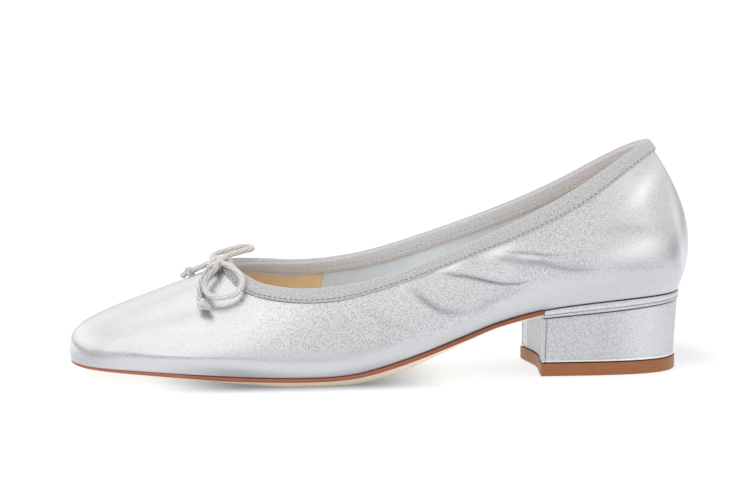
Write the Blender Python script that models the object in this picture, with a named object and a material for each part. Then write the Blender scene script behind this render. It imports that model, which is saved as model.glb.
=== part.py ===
"""Left ballet pump: hollow leather upper, bound topline, insole, thin outsole, block heel and cord bow."""

import math

import bmesh
import bpy
import numpy as np

for old in list(bpy.data.objects):
    bpy.data.objects.remove(old)

# Sizes in millimetres: x from the toe tip to the heel, y towards the inner side of the foot, z up
MM = 0.001
WALL = 1.6
GAP = 0.3
SAMPLES_ROUND = 96
BINDING_TAPE = 0.7
BAND_DEPTH = 7.5
INSOLE_THICKNESS = 2.0
INSOLE_INSET = 2.5
BREAST_X = 186.5
BREAST_HOLLOW = 2.2
HEEL_TAPER = 1.2
HEEL_BACK_X = 245.6
HEEL_BACK_RAKE = 0.3
RAND_PROUD = 0.2
RAND_FRONT_BOTTOM = 23.5
RAND_BACK_BOTTOM = 28.6
TOP_PIECE_HEIGHT = 5.1
TOP_PIECE_PROUD = 0.6
CORD_RADIUS = 1.1

# Sections of the upper in order round the shoe: toe, outer side, heel, inner side
# Each section is a curve from the sole edge (feather) up to the topline (collar)
# A lean is the angle of the curve's end from level, and a reach is the length of its handle
COLUMNS = (
    "feather_x",
    "feather_y",
    "feather_lean",
    "feather_reach",
    "collar_x",
    "collar_y",
    "collar_z",
    "collar_lean",
    "collar_reach",
)
STATIONS = np.array(
    [
        (0.5, 7.2, 81.0, 18.3, 64.4, 3.5, 44.6, 21.6, 61.4),  # toe centre
        (2.4, -2.2, 89.0, 17.1, 65.2, -2.6, 43.1, 22.2, 59.4),
        (9.0, -10.4, 91.0, 20.2, 68.2, -9.0, 40.85, 30.8, 48.4),
        (26.0, -19.8, 83.8, 16.6, 73.2, -14.6, 38.4, 36.6, 33.4),
        (54.0, -30.4, 65.6, 14.8, 81.4, -20.0, 36.85, 48.0, 24.0),
        (88.0, -36.7, 62.0, 11.0, 95.0, -25.0, 36.75, 60.0, 15.0),  # outer joint
        (118.0, -34.2, 60.0, 11.0, 117.0, -27.6, 39.85, 72.0, 12.0),
        (150.0, -28.3, 60.0, 12.0, 145.0, -27.0, 48.9, 78.0, 12.0),  # outer waist
        (186.0, -24.9, 62.0, 13.0, 175.0, -24.8, 61.6, 78.0, 16.0),
        (217.0, -25.4, 64.0, 15.0, 203.0, -21.0, 75.7, 72.0, 22.0),
        (238.6, -18.0, 66.0, 17.0, 224.3, -13.2, 88.2, 62.0, 29.0),
        (245.6, 0.0, 66.6, 18.5, 233.0, 0.0, 91.4, 54.6, 32.8),  # heel back
        (238.6, 18.0, 66.0, 17.0, 224.3, 13.2, 86.6, 62.0, 29.0),
        (217.0, 25.0, 64.0, 15.0, 203.0, 20.5, 74.5, 72.0, 22.0),
        (186.0, 24.0, 60.0, 13.0, 175.0, 23.8, 61.85, 80.0, 16.0),
        (150.0, 21.4, 56.0, 13.0, 145.0, 26.0, 51.15, 86.0, 13.0),  # inner waist
        (114.0, 28.5, 58.0, 11.0, 117.0, 27.8, 43.4, 78.0, 12.0),
        (80.0, 36.3, 62.0, 11.0, 93.0, 27.0, 41.4, 62.0, 15.0),  # inner joint
        (50.0, 34.6, 65.6, 15.3, 80.4, 23.2, 42.6, 48.0, 25.0),
        (24.0, 28.6, 83.8, 16.6, 72.4, 18.6, 43.4, 36.6, 35.4),
        (7.5, 22.3, 91.0, 20.2, 67.6, 13.6, 44.1, 30.8, 49.4),
        (1.8, 15.5, 89.0, 17.1, 65.2, 8.8, 44.5, 22.2, 59.4),
    ]
)
HALF_ROUND = 11
FEATHER = STATIONS[:, 0:2]

# Height of the sole edge by distance from the toe
FEATHER_HEIGHT = np.array(
    [
        (0.0, 6.3),
        (7.0, 5.64),
        (18.6, 5.31),
        (30.0, 5.0),
        (49.0, 4.33),
        (68.0, 3.83),
        (87.0, 3.62),
        (96.0, 3.62),
        (107.0, 4.2),
        (115.0, 5.5),
        (127.5, 8.7),
        (140.0, 12.45),
        (152.0, 16.6),
        (168.0, 22.2),
        (186.0, 26.7),
        (201.0, 28.8),
        (217.0, 30.35),
        (230.0, 31.25),
        (247.0, 32.1),
    ]
)

# Height of the outsole's underside by distance from the toe, level where it stands
SOLE_UNDERSIDE = np.array(
    [
        (0.0, 5.0),
        (7.0, 4.2),
        (18.6, 3.65),
        (30.0, 3.15),
        (49.0, 2.35),
        (68.0, 1.1),
        (85.0, 0.0),
        (107.0, 0.0),
        (112.0, 0.6),
        (120.0, 2.1),
        (128.0, 4.1),
        (140.0, 8.9),
        (148.0, 12.2),
        (156.0, 15.6),
        (168.0, 20.1),
        (188.0, 24.8),
    ]
)

# Depth of the binding below the topline edge, outside and inside, by the edge's distance from the toe
BINDING_OUTSIDE = np.array(
    [
        (64.0, 4.0),
        (66.0, 4.7),
        (71.0, 5.9),
        (76.0, 6.4),
        (82.0, 6.1),
        (104.0, 5.3),
        (116.0, 4.3),
        (128.0, 4.0),
        (152.0, 4.4),
        (176.0, 6.0),
        (201.0, 6.7),
        (227.0, 5.2),
        (240.0, 5.0),
    ]
)
BINDING_INSIDE = np.array([(60.0, 5.4), (104.0, 4.8), (140.0, 5.8), (240.0, 6.0)])

# Width of the outsole's square edge, above its bevel, by distance from the toe
SOLE_BAND = np.array(
    [
        (0.0, 1.7),
        (30.0, 1.6),
        (45.0, 1.3),
        (70.0, 1.0),
        (105.0, 0.9),
        (130.0, 1.2),
        (150.0, 1.35),
        (170.0, 1.7),
        (190.0, 1.8),
    ]
)

# How far the outsole stands out past the sole edge, by distance from the toe
SOLE_MARGIN = np.array([(0.0, -0.2), (12.0, 0.1), (60.0, 0.6), (190.0, 0.6)])


def table_curve(table, at):
    """Smooth curve through the rows of a table that never overshoots them."""
    x, y = table.T
    step = np.diff(x)
    slope = np.diff(y) / step
    both = slope[:-1] * slope[1:]
    inner = np.where(both > 0, 2 * both / np.where(both > 0, slope[:-1] + slope[1:], 1), 0)
    ends = np.concatenate([slope[:1], inner, slope[-1:]])
    at = np.clip(at, x[0], x[-1])
    i = np.clip(np.searchsorted(x, at) - 1, 0, len(step) - 1)
    s = (at - x[i]) / step[i]
    rise = y[i] + s * s * (3 - 2 * s) * (y[i + 1] - y[i])
    return rise + step[i] * s * (1 - s) * ((1 - s) * ends[i] - s * ends[i + 1])


def closed_spline(rows, at):
    """Cubic spline through the rows as one closed loop that repeats after one turn."""
    count = len(rows)
    step = np.diff(KNOTS)
    before = np.roll(step, 1)
    rise = (np.roll(rows, -1, axis=0) - rows) / step[:, None]
    right = 6 * (rise - np.roll(rise, 1, axis=0))
    matrix = np.diag(2 * (before + step))
    for i in range(count):
        matrix[i, i - 1] += before[i]
        matrix[i, (i + 1) % count] += step[i]
    bend = np.linalg.solve(matrix, right)
    at = np.mod(at, 1.0)
    i = np.clip(np.searchsorted(KNOTS, at, side="right") - 1, 0, count - 1)
    j = (i + 1) % count
    h = step[i][:, None]
    s = ((at - KNOTS[i]) / step[i])[:, None]
    line = (1 - s) * rows[i] + s * rows[j]
    curl = ((1 - s) ** 3 - (1 - s)) * bend[i] + (s**3 - s) * bend[j]
    return line + h * h / 6 * curl


def half_turns(points):
    """Place of each section round the loop: 0 at the toe, a half at the heel and 1 at the toe again."""
    chords = np.linalg.norm(np.roll(points, -1, axis=0) - points, axis=1)
    outer = np.cumsum(chords[:HALF_ROUND]) / chords[:HALF_ROUND].sum() / 2
    inner = np.cumsum(chords[HALF_ROUND:]) / chords[HALF_ROUND:].sum() / 2
    return np.concatenate([[0.0], outer, 0.5 + inner])


KNOTS = half_turns(FEATHER)


def unit(vectors):
    return vectors / np.linalg.norm(vectors, axis=-1, keepdims=True)


def feather_edge(around, outward=0.0):
    """Plan points along the sole edge, moved outward by the given distance."""
    little = 1e-4
    ahead = closed_spline(FEATHER, around + little) - closed_spline(FEATHER, around - little)
    normal = unit(np.column_stack([ahead[:, 1], -ahead[:, 0]]))
    return closed_spline(FEATHER, around) + outward * normal, normal


def upper_face(around, rise):
    """Points of the upper's outer face, at a place round the shoe and a share of the way up the wall."""
    rows = dict(zip(COLUMNS, closed_spline(STATIONS, around).T))
    foot, normal = feather_edge(around)
    top = np.column_stack([rows["collar_x"], rows["collar_y"], rows["collar_z"]])
    low = np.column_stack([foot, table_curve(FEATHER_HEIGHT, foot[:, 0])])
    heading = unit(foot - top[:, :2] + 12.0 * normal)
    lean = np.radians(rows["feather_lean"])[:, None]
    droop = np.radians(rows["collar_lean"])[:, None]
    first = np.hstack([np.cos(lean) * normal, np.sin(lean)]) * rows["feather_reach"][:, None]
    last = np.hstack([np.cos(droop) * heading, -np.sin(droop)]) * rows["collar_reach"][:, None]
    v = rise[..., None]
    w = 1 - v
    bottom = w * w * (w * low + 3 * v * (low + first))
    return bottom + v * v * (3 * w * (top + last) + v * top)


def upper_layer(around, rise, outward):
    """The upper's face moved along its normal: outward on the outside, negative inside the wall."""
    rise = np.broadcast_to(rise, (len(rise), len(around)))
    little = 1e-4
    along = upper_face(around + little, rise) - upper_face(around - little, rise)
    up = upper_face(around, rise + little) - upper_face(around, rise - little)
    return upper_face(around, rise) + outward * unit(np.cross(along, up))


def share_below_edge(around, distance):
    """Share of the way up the wall at a distance below the topline edge."""
    reach = closed_spline(STATIONS[:, 8:9], around)[:, 0]
    return 1 - distance / (3 * reach)


AROUND = np.arange(SAMPLES_ROUND) / SAMPLES_ROUND
ROWS_UP = np.array([0.0, 0.07, 0.15, 0.24, 0.35, 0.47, 0.6, 0.73, 0.86, 1.0])[:, None]
shell_rise = np.vstack([ROWS_UP * share_below_edge(AROUND, BAND_DEPTH), np.ones(SAMPLES_ROUND)])
outer_face = upper_layer(AROUND, shell_rise, 0.0)
inner_face = upper_layer(AROUND, shell_rise, -WALL)

# Everything hangs from one empty, which puts the middle of the footprint at the origin
box_low = outer_face.reshape(-1, 3).min(axis=0)
box_high = outer_face.reshape(-1, 3).max(axis=0)
centre = (box_low + box_high) / 2
shoe = bpy.data.objects.new("shoe", None)
shoe.location = (-centre[0] * MM, -centre[1] * MM, 0.0)
bpy.context.collection.objects.link(shoe)


def material(name, colour, metallic, roughness):
    made = bpy.data.materials.new(name)
    made.use_nodes = True
    shader = made.node_tree.nodes["Principled BSDF"]
    shader.inputs["Base Color"].default_value = (*colour, 1.0)
    shader.inputs["Metallic"].default_value = metallic
    shader.inputs["Roughness"].default_value = roughness
    return made


def add_object(name, data, made):
    data.materials.append(made)
    thing = bpy.data.objects.new(name, data)
    thing.parent = shoe
    bpy.context.collection.objects.link(thing)
    return thing


def add_solid(name, points, faces, made):
    """A closed mesh from points in millimetres, with its faces turned outward."""
    mesh = bpy.data.meshes.new(name)
    mesh.from_pydata((np.asarray(points) * MM).tolist(), [], faces)
    work = bmesh.new()
    work.from_mesh(mesh)
    bmesh.ops.remove_doubles(work, verts=work.verts, dist=1e-7)
    bmesh.ops.recalc_face_normals(work, faces=work.faces)
    work.to_mesh(mesh)
    work.free()
    return add_object(name, mesh, made)


def ring_faces(rings, count, closed):
    """Quads between rings of the same count of points; closed joins the last ring to the first."""
    faces = []
    for r in range(rings if closed else rings - 1):
        here = r * count
        there = (r + 1) % rings * count
        for i in range(count):
            j = (i + 1) % count
            faces.append((here + i, here + j, there + j, there + i))
    return faces


def ladder_faces(pairs, start):
    """Faces across an outline, between pairs of its points; a pair of one point twice is a tip."""
    faces = []
    for (a, b), (c, d) in zip(pairs, pairs[1:]):
        corners = list(dict.fromkeys([a, c, d, b]))
        faces.append([start + k for k in corners])
    return faces


def add_plate(name, rings, pairs, made):
    """A plate from outline rings, top to bottom, closed by faces across its first and last ring."""
    count = len(rings[0])
    faces = ring_faces(len(rings), count, closed=False)
    faces += ladder_faces(pairs, 0)
    faces += ladder_faces(pairs, (len(rings) - 1) * count)
    return add_solid(name, np.vstack(rings), faces, made)


def with_height(plan, height):
    return np.column_stack([plan, np.broadcast_to(height, len(plan))])


# Upper: one hollow wall, open at the topline and underneath
silver = material("silver_leather", (0.62, 0.63, 0.66), 0.85, 0.32)
shell = np.concatenate([outer_face, inner_face[::-1]])
add_solid("upper", shell.reshape(-1, 3), ring_faces(len(shell), SAMPLES_ROUND, closed=True), silver)

# Binding: ribbed tape folded over the topline edge, as (distance below the edge, distance outward)
grosgrain = material("grey_binding", (0.60, 0.58, 0.56), 0.0, 0.75)
near = GAP
far = GAP + BINDING_TAPE
inside = -WALL - GAP
outside_depth = table_curve(BINDING_OUTSIDE, outer_face[-1][:, 0])
inside_depth = table_curve(BINDING_INSIDE, outer_face[-1][:, 0])
BINDING_SECTION = (
    (outside_depth, near),
    (outside_depth, far),
    (0.3, far),
    (-far, near - 0.2),
    (-far, inside + 0.2),
    (0.3, inside - BINDING_TAPE),
    (inside_depth, inside - BINDING_TAPE),
    (inside_depth, inside),
    (-near, inside),
    (-near, near),
)
tape_rings = [
    upper_layer(AROUND, share_below_edge(AROUND, below)[None, :], outward)[0]
    for below, outward in BINDING_SECTION
]
tape_faces = ring_faces(len(tape_rings), SAMPLES_ROUND, closed=True)
add_solid("topline_binding", np.vstack(tape_rings), tape_faces, grosgrain)

# Insole: leather sock that fills the shoe's floor inside the wall
tan = material("tan_leather", (0.52, 0.33, 0.17), 0.0, 0.55)
floor_plan, _ = feather_edge(AROUND, -INSOLE_INSET)
floor_height = table_curve(FEATHER_HEIGHT, floor_plan[:, 0])
half = SAMPLES_ROUND // 2
round_pairs = [(0, 0)] + [(i, SAMPLES_ROUND - i) for i in range(1, half)] + [(half, half)]
floor_top = with_height(floor_plan, floor_height + INSOLE_THICKNESS)
add_plate("insole", [floor_top, with_height(floor_plan, floor_height)], round_pairs, tan)


def place_at(x, first, last):
    """Place round the loop where the sole edge is at the given distance from the toe."""
    around = np.linspace(first, last, 400)
    along = feather_edge(around)[0][:, 0]
    order = np.argsort(along)
    return float(np.interp(x, along[order], around[order]))


# Outsole: thin leather from the toe to the heel breast, with a square edge band above a bevel
edge_brown = material("sole_leather", (0.36, 0.16, 0.09), 0.0, 0.45)
breast_outer = place_at(BREAST_X - GAP, 0.1, 0.45)
breast_inner = place_at(BREAST_X - GAP, 0.55, 0.9)
sole_outer = np.append(AROUND[AROUND < breast_outer - 0.004], breast_outer)
sole_inner = np.append(1 - AROUND[1 : len(sole_outer) - 1], breast_inner)[::-1]
sole_around = np.concatenate([sole_outer, sole_inner])
sole_last = len(sole_outer) - 1
sole_pairs = [(0, 0)] + [(i, len(sole_around) - i) for i in range(1, sole_last + 1)]
sole_foot, sole_normal = feather_edge(sole_around)
sole_margin = table_curve(SOLE_MARGIN, sole_foot[:, 0])[:, None]
sole_plan = sole_foot + sole_margin * sole_normal
sole_top = table_curve(FEATHER_HEIGHT, sole_plan[:, 0]) - GAP
sole_low = table_curve(SOLE_UNDERSIDE, sole_plan[:, 0])
sole_band = np.minimum(table_curve(SOLE_BAND, sole_plan[:, 0]), 0.75 * (sole_top - sole_low))
sole_bevel = 0.6 * (sole_top - sole_band - sole_low) + 0.3
under_plan = sole_plan - sole_bevel[:, None] * sole_normal
under_low = table_curve(SOLE_UNDERSIDE, under_plan[:, 0])
sole_rings = [
    with_height(sole_plan, sole_top),
    with_height(sole_plan, sole_top - sole_band),
    with_height(under_plan, under_low),
]
add_plate("outsole", sole_rings, sole_pairs, edge_brown)

# Heel: outline from breast corner round the back to the other breast corner
heel_outer = place_at(BREAST_X, 0.1, 0.45)
heel_inner = place_at(BREAST_X, 0.55, 0.9)
between = AROUND[(AROUND > heel_outer + 0.004) & (AROUND < heel_inner - 0.004)]
heel_around = np.concatenate([[heel_outer], between, [heel_inner]])


def heel_plane(plan):
    """Slanted plane where the rand sits on the block."""
    share = (plan[:, 0] - BREAST_X) / (HEEL_BACK_X - BREAST_X)
    return RAND_FRONT_BOTTOM + share * (RAND_BACK_BOTTOM - RAND_FRONT_BOTTOM)


# Rand: covered strip under the heel seat
rand_plan, _ = feather_edge(heel_around, RAND_PROUD)
rand_top = with_height(rand_plan, table_curve(FEATHER_HEIGHT, rand_plan[:, 0]) - GAP)
rand_pairs = [(i, len(rand_plan) - 1 - i) for i in range((len(rand_plan) + 1) // 2)]
add_plate("heel_rand", [rand_top, with_height(rand_plan, heel_plane(rand_plan))], rand_pairs, silver)


def heel_loop(outward, breast_forward):
    """Plan loop of the heel with its hollow breast, moved outward all round."""
    back, _ = feather_edge(heel_around, outward)
    share = np.linspace(0, 1, 13)[1:-1]
    breast = back[-1] + share[:, None] * (back[0] - back[-1])
    loop = np.vstack([back, breast])
    loop[len(back) :, 0] += BREAST_HOLLOW * np.sin(math.pi * share) ** 2
    front = np.r_[0, len(back) - 1, len(back) : len(loop)]
    loop[front, 0] -= breast_forward
    return loop


def raked(loop):
    """The heel's loop drawn in towards the breast, most at the back."""
    loop[:, 0] -= HEEL_BACK_RAKE * np.clip((loop[:, 0] - BREAST_X) / 60.0, 0.0, 1.0)
    return loop


def add_block(name, top, low, made):
    count = len(top)
    faces = ring_faces(2, count, closed=False)
    faces += [list(range(count)), list(range(count, 2 * count))]
    return add_solid(name, np.vstack([top, low]), faces, made)


# Block: covered heel, slightly narrower at the floor
block_top = heel_loop(-GAP, 0.0)
block_low = raked(heel_loop(-HEEL_TAPER - GAP, 0.3))
block_top_z = heel_plane(block_top) - GAP
add_block(
    "heel_block",
    with_height(block_top, block_top_z),
    with_height(block_low, TOP_PIECE_HEIGHT + GAP),
    silver,
)

# Top piece: lift that stands on the floor
lift_brown = material("heel_lift", (0.34, 0.16, 0.07), 0.0, 0.5)
lift = raked(heel_loop(-HEEL_TAPER - GAP + TOP_PIECE_PROUD, 0.3 + TOP_PIECE_PROUD))
add_block("heel_top_piece", with_height(lift, TOP_PIECE_HEIGHT), with_height(lift, 0.0), lift_brown)

# Bow: the two ends of the draw cord, tied in front of the throat; each route is a list of places
cord_grey = material("grey_cord", (0.66, 0.63, 0.58), 0.0, 0.8)
KNOT_CENTRE = (58.5, 2.4, 45.5)
KNOT_RADII = (2.5, 3.0, 2.1)
TIP_SWELL = (1.2, 1.9, 1.9, 1.2, 1.0)
LOOP_LATERAL = (
    (60.8, -1.6, 44.8),
    (62.0, -4.1, 44.6),
    (64.0, -7.9, 43.8),
    (66.2, -12.1, 42.0),
    (67.0, -15.9, 39.1),
    (65.6, -18.1, 36.3),
    (62.5, -19.0, 34.2),
    (58.3, -18.5, 33.6),
    (54.4, -16.8, 34.2),
    (52.5, -13.8, 36.4),
    (53.2, -9.9, 39.4),
    (55.6, -7.0, 41.7),
    (57.8, -4.3, 43.2),
    (58.4, -2.0, 43.7),
)
LOOP_MEDIAL = (
    (57.4, 6.9, 46.5),
    (58.3, 8.5, 47.0),
    (60.5, 11.2, 47.5),
    (64.5, 15.2, 48.0),
    (68.7, 19.0, 48.4),
    (71.8, 21.3, 48.4),
    (74.1, 21.3, 48.2),
    (74.7, 19.0, 48.0),
    (72.6, 15.7, 47.8),
    (68.6, 12.0, 47.4),
    (65.0, 8.4, 47.0),
    (62.9, 6.0, 46.7),
)
END_LATERAL = (
    (55.3, -0.8, 42.6),
    (54.0, -1.9, 41.4),
    (52.8, -3.7, 40.0),
    (51.5, -7.1, 37.8),
    (50.7, -11.1, 35.2),
    (50.2, -14.3, 33.0),
)
END_MEDIAL = (
    (55.2, 5.7, 43.7),
    (54.1, 7.4, 43.0),
    (52.9, 9.2, 42.1),
    (51.8, 10.5, 41.4),
)
TIP_LATERAL = (
    (50.2, -15.0, 32.6),
    (50.8, -17.4, 31.3),
    (51.9, -19.2, 30.4),
    (53.3, -20.3, 30.0),
    (54.3, -20.8, 29.9),
)
TIP_MEDIAL = (
    (51.3, 11.0, 41.1),
    (49.7, 12.8, 40.2),
    (48.0, 13.5, 39.5),
    (46.5, 13.6, 38.5),
    (45.5, 14.0, 37.3),
)


def add_cord(name, route, swell):
    """A round cord through the places of its route, thickened at each by its swell."""
    curve = bpy.data.curves.new(name, "CURVE")
    curve.dimensions = "3D"
    curve.bevel_depth = CORD_RADIUS * MM
    curve.bevel_resolution = 1
    curve.resolution_u = 3
    curve.use_fill_caps = True
    spline = curve.splines.new("BEZIER")
    spline.bezier_points.add(len(route) - 1)
    for point, place, size in zip(spline.bezier_points, route, swell):
        point.co = [v * MM for v in place]
        point.handle_left_type = "AUTO"
        point.handle_right_type = "AUTO"
        point.radius = size
    return add_object(name, curve, cord_grey)


add_cord("bow_loop_lateral", LOOP_LATERAL, [1.0] * len(LOOP_LATERAL))
add_cord("bow_loop_medial", LOOP_MEDIAL, [1.0] * len(LOOP_MEDIAL))
add_cord("bow_end_lateral", END_LATERAL, [1.0] * len(END_LATERAL))
add_cord("bow_end_medial", END_MEDIAL, [1.0] * len(END_MEDIAL))
add_cord("bow_tip_lateral", TIP_LATERAL, TIP_SWELL)
add_cord("bow_tip_medial", TIP_MEDIAL, TIP_SWELL)

knot_mesh = bpy.data.meshes.new("bow_knot")
knot_work = bmesh.new()
bmesh.ops.create_uvsphere(knot_work, u_segments=12, v_segments=8, radius=MM)
bmesh.ops.scale(knot_work, vec=KNOT_RADII, verts=knot_work.verts)
bmesh.ops.translate(knot_work, vec=[v * MM for v in KNOT_CENTRE], verts=knot_work.verts)
knot_work.to_mesh(knot_mesh)
knot_work.free()
add_object("bow_knot", knot_mesh, cord_grey)
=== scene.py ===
# %% [markdown]
# # A silver ballet pump with a block heel
# This is a left shoe: a soft upper of silver foil leather, a grey woven binding round the opening, a cord
# bow in front of the throat, a thin leather sole and a low heel block covered in the same leather.
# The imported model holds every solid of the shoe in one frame, in metres. The toe points to -X, the outer
# side of the foot to -Y, and the shoe stands on Z = 0. Each cell below dresses one part of it.

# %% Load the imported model
import math

import bmesh
import bpy
import numpy as np
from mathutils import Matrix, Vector


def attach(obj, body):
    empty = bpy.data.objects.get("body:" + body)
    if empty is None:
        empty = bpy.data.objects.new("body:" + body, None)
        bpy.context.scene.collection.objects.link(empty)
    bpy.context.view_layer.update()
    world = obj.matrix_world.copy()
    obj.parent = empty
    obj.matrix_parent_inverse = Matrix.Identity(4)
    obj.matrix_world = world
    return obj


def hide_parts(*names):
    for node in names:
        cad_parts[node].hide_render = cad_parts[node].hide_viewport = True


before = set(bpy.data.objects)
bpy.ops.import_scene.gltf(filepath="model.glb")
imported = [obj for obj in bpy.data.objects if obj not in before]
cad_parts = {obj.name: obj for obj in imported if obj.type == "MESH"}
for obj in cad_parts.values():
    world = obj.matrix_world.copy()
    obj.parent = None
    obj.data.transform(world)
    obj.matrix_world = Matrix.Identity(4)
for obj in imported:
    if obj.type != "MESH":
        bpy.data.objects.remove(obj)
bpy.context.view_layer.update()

# %% [markdown]
# ## The camera
# The shoe is seen from its outer side, a little from the toe and a little from above. A long lens at 1.4 m
# keeps the perspective mild. The place the lens looks at is given in the row frame, so the picture stays
# the same whatever is built later.

# %% Camera
AIM = np.array([-0.001911, 0.006167, 0.052053])
LOOK = np.array([0.138045, 0.982241, -0.127065])
CAMERA_DISTANCE = 1.4
SENSOR_MM = 36.0
LENS_MM = 167.06

camera_data = bpy.data.cameras.new("camera")
camera_data.sensor_width = SENSOR_MM
camera_data.lens = LENS_MM
camera = bpy.data.objects.new("camera", camera_data)
camera.location = AIM - CAMERA_DISTANCE * LOOK
camera.rotation_euler = Vector(LOOK).to_track_quat("-Z", "Y").to_euler()
bpy.context.collection.objects.link(camera)
bpy.context.scene.camera = camera
print("camera at", [round(v, 3) for v in camera.location])

# %% [markdown]
# ## From the maker's millimetres to the frame
# A shoemaker measures from the tip of the toe, so the tables below do too: x runs back to the heel, y
# towards the inner side of the foot, z up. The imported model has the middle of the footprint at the
# origin and is in metres, so one function takes places from the maker's frame to the model's.

# %% Millimetres to the frame
MM = 0.001
ROW_CENTRE = np.array([124.94995, 0.20676, 0.0])


def to_row(points):
    """Place in the row frame: the place from the toe tip, less the middle of the footprint, in metres."""
    return (np.asarray(points, float) - ROW_CENTRE) * MM


def unit(vectors):
    """Each vector divided by its own length."""
    return vectors / np.linalg.norm(vectors, axis=-1, keepdims=True)


print("toe tip at", np.round(to_row([0.0, 0.0, 0.0]), 4))

# %% [markdown]
# ## From a grid to a mesh
# Each surface is a grid of points, and one function makes any grid a mesh: quads join each point to its
# neighbours, points that meet are merged, and the faces turn outward by the sign of the volume. It is
# quicker than modelling by hand, and a piece can be made again with other numbers. A second function puts
# the finished piece on the shoe.

# %% Grid to mesh
SHARP_DEGREES = 50.0
MERGE_M, SLIVER_M = 1e-6, 1e-7


def coordinates(extent, count):
    """Pattern coordinates of the grid lines in mm: those given, or even steps up to one given length."""
    return np.linspace(0.0, extent, count) if np.ndim(extent) == 0 else extent


def add_surface(name, grid, along, across, marks=None, wrap_rows=False, wrap_columns=False):
    """A mesh from a grid of places, rows by columns, or from a stack of such grids.

    Volume is the sum over quads a, b, c, d of a . (b x c + c x d) / 6; where it is negative, all quads turn.
    The uv map holds mm along the columns and across the rows, with one more line of the grid for each wrap.
    """
    rows, columns = grid.shape[-3:-1]
    i, j = np.meshgrid(
        np.arange(rows - (not wrap_rows)), np.arange(columns - (not wrap_columns)), indexing="ij"
    )
    row = np.stack([i, i, i + 1, i + 1], axis=-1).reshape(-1, 4)
    column = np.stack([j, j + 1, j + 1, j], axis=-1).reshape(-1, 4)
    points = to_row(grid.reshape(-1, 3))
    first = np.arange(0, len(points), rows * columns)
    quads = (first[:, None, None] + row % rows * columns + column % columns).reshape(-1, 4)
    lines = coordinates(along, columns + wrap_columns), coordinates(across, rows + wrap_rows)
    uv = np.tile(np.stack(np.meshgrid(*lines), axis=-1)[row, column], (len(first), 1, 1))
    a, b, c, d = points[quads.T]
    if (a * (np.cross(b, c) + np.cross(c, d))).sum() < 0:
        quads, uv = quads[:, ::-1], uv[:, ::-1]
    mesh = bpy.data.meshes.new(name)
    mesh.from_pydata(points.tolist(), [], quads.tolist())
    mesh.uv_layers.new(name="UVMap").data.foreach_set("uv", uv.ravel())
    for mark, values in (marks or {}).items():
        mesh.attributes.new(mark, "FLOAT", "POINT").data.foreach_set("value", np.ravel(values))
    work = bmesh.new()
    work.from_mesh(mesh)
    bmesh.ops.remove_doubles(work, verts=work.verts, dist=MERGE_M)
    bmesh.ops.dissolve_degenerate(work, edges=work.edges, dist=SLIVER_M)
    work.to_mesh(mesh)
    work.free()
    mesh.shade_smooth()
    mesh.set_sharp_from_angle(angle=math.radians(SHARP_DEGREES))
    piece = bpy.data.objects.new(name, mesh)
    bpy.context.collection.objects.link(piece)
    print(name, len(mesh.polygons), "faces")
    return piece


def dress(piece, material, slot, *nodes):
    """Puts a piece on the shoe: its material, the body it rides on and the nodes it replaces. The slot is not
    used.
    """
    piece.data.materials.append(material)
    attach(piece, "root")
    if nodes:
        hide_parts(*nodes)


print("edges that turn by more than", SHARP_DEGREES, "degrees stay sharp")

# %% [markdown]
# ## Colour and nodes
# A listed colour is an sRGB value, and a shader works in linear light, so one function turns hex
# codes to linear. One more adds a node to a material with its settings and inputs. Sizes in a pattern are
# real: a scale is one over a size in metres on Object coordinates, or one over a size in millimetres on
# the UV maps, which are drawn in millimetres here. A wave texture repeats every pi / 10 of a unit.

# %% Colour and node helpers
WAVE_TURN = 2 * math.pi / 20
TINT = {"data_type": "RGBA"}
TIMES = {"data_type": "RGBA", "blend_type": "MULTIPLY"}


def linear(code):
    """sRGB to linear: c / 12.92 up to 0.04045, and ((c + 0.055) / 1.055) to the power 2.4 above."""
    c = np.array([int(code[k : k + 2], 16) for k in (1, 3, 5)]) / 255
    return (*np.where(c <= 0.04045, c / 12.92, ((c + 0.055) / 1.055) ** 2.4).tolist(), 1.0)


def plug(node, inputs):
    """Fills a node's inputs: a socket is linked, and anything else is a constant value."""
    for name, value in inputs.items():
        if isinstance(value, bpy.types.NodeSocket):
            node.id_data.links.new(value, node.inputs[name])
        else:
            node.inputs[name].default_value = value


def add_node(tree, kind, inputs=None, **settings):
    """One node of a kind, with its own settings and its inputs filled; gives its outputs."""
    node = tree.nodes.new("ShaderNode" + kind)
    for name, value in settings.items():
        setattr(node, name, value)
    plug(node, inputs or {})
    return node.outputs


def new_material(name, constants):
    """A material whose Principled shader has these constants; gives it, its tree and its shader."""
    made = bpy.data.materials.new(name)
    made.use_nodes = True
    shader = made.node_tree.nodes["Principled BSDF"]
    plug(shader, constants)
    return made, made.node_tree, shader


print("silver #CFCFD1 in linear light:", [round(v, 3) for v in linear("#CFCFD1")])

# %% [markdown]
# ## Silver foil leather
# Fine kid leather gets its silver from a metal foil that is pressed on under heat. The foil keeps the
# grain: shallow pebbles about half a millimetre wide, and faint stretch lines. It mirrors the room in
# soft patches, so the eye sees a pale metal with a broken, satin gloss. Pebbles come from Voronoi cells,
# drawn a little over their real size so that they show. Three marks on each silver piece steer the look:
# taut, where the leather is stretched smooth; crease, where shade is painted on; and the highlight mark,
# where a highlight is painted on.

# %% Material: silver foil leather, its colour
PEBBLE_MM = 0.57
CLOUD_MM = 24.0
TAUT_LEVEL, PAINTED_SHADE_LEVEL = 0.955, 0.3

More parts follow.
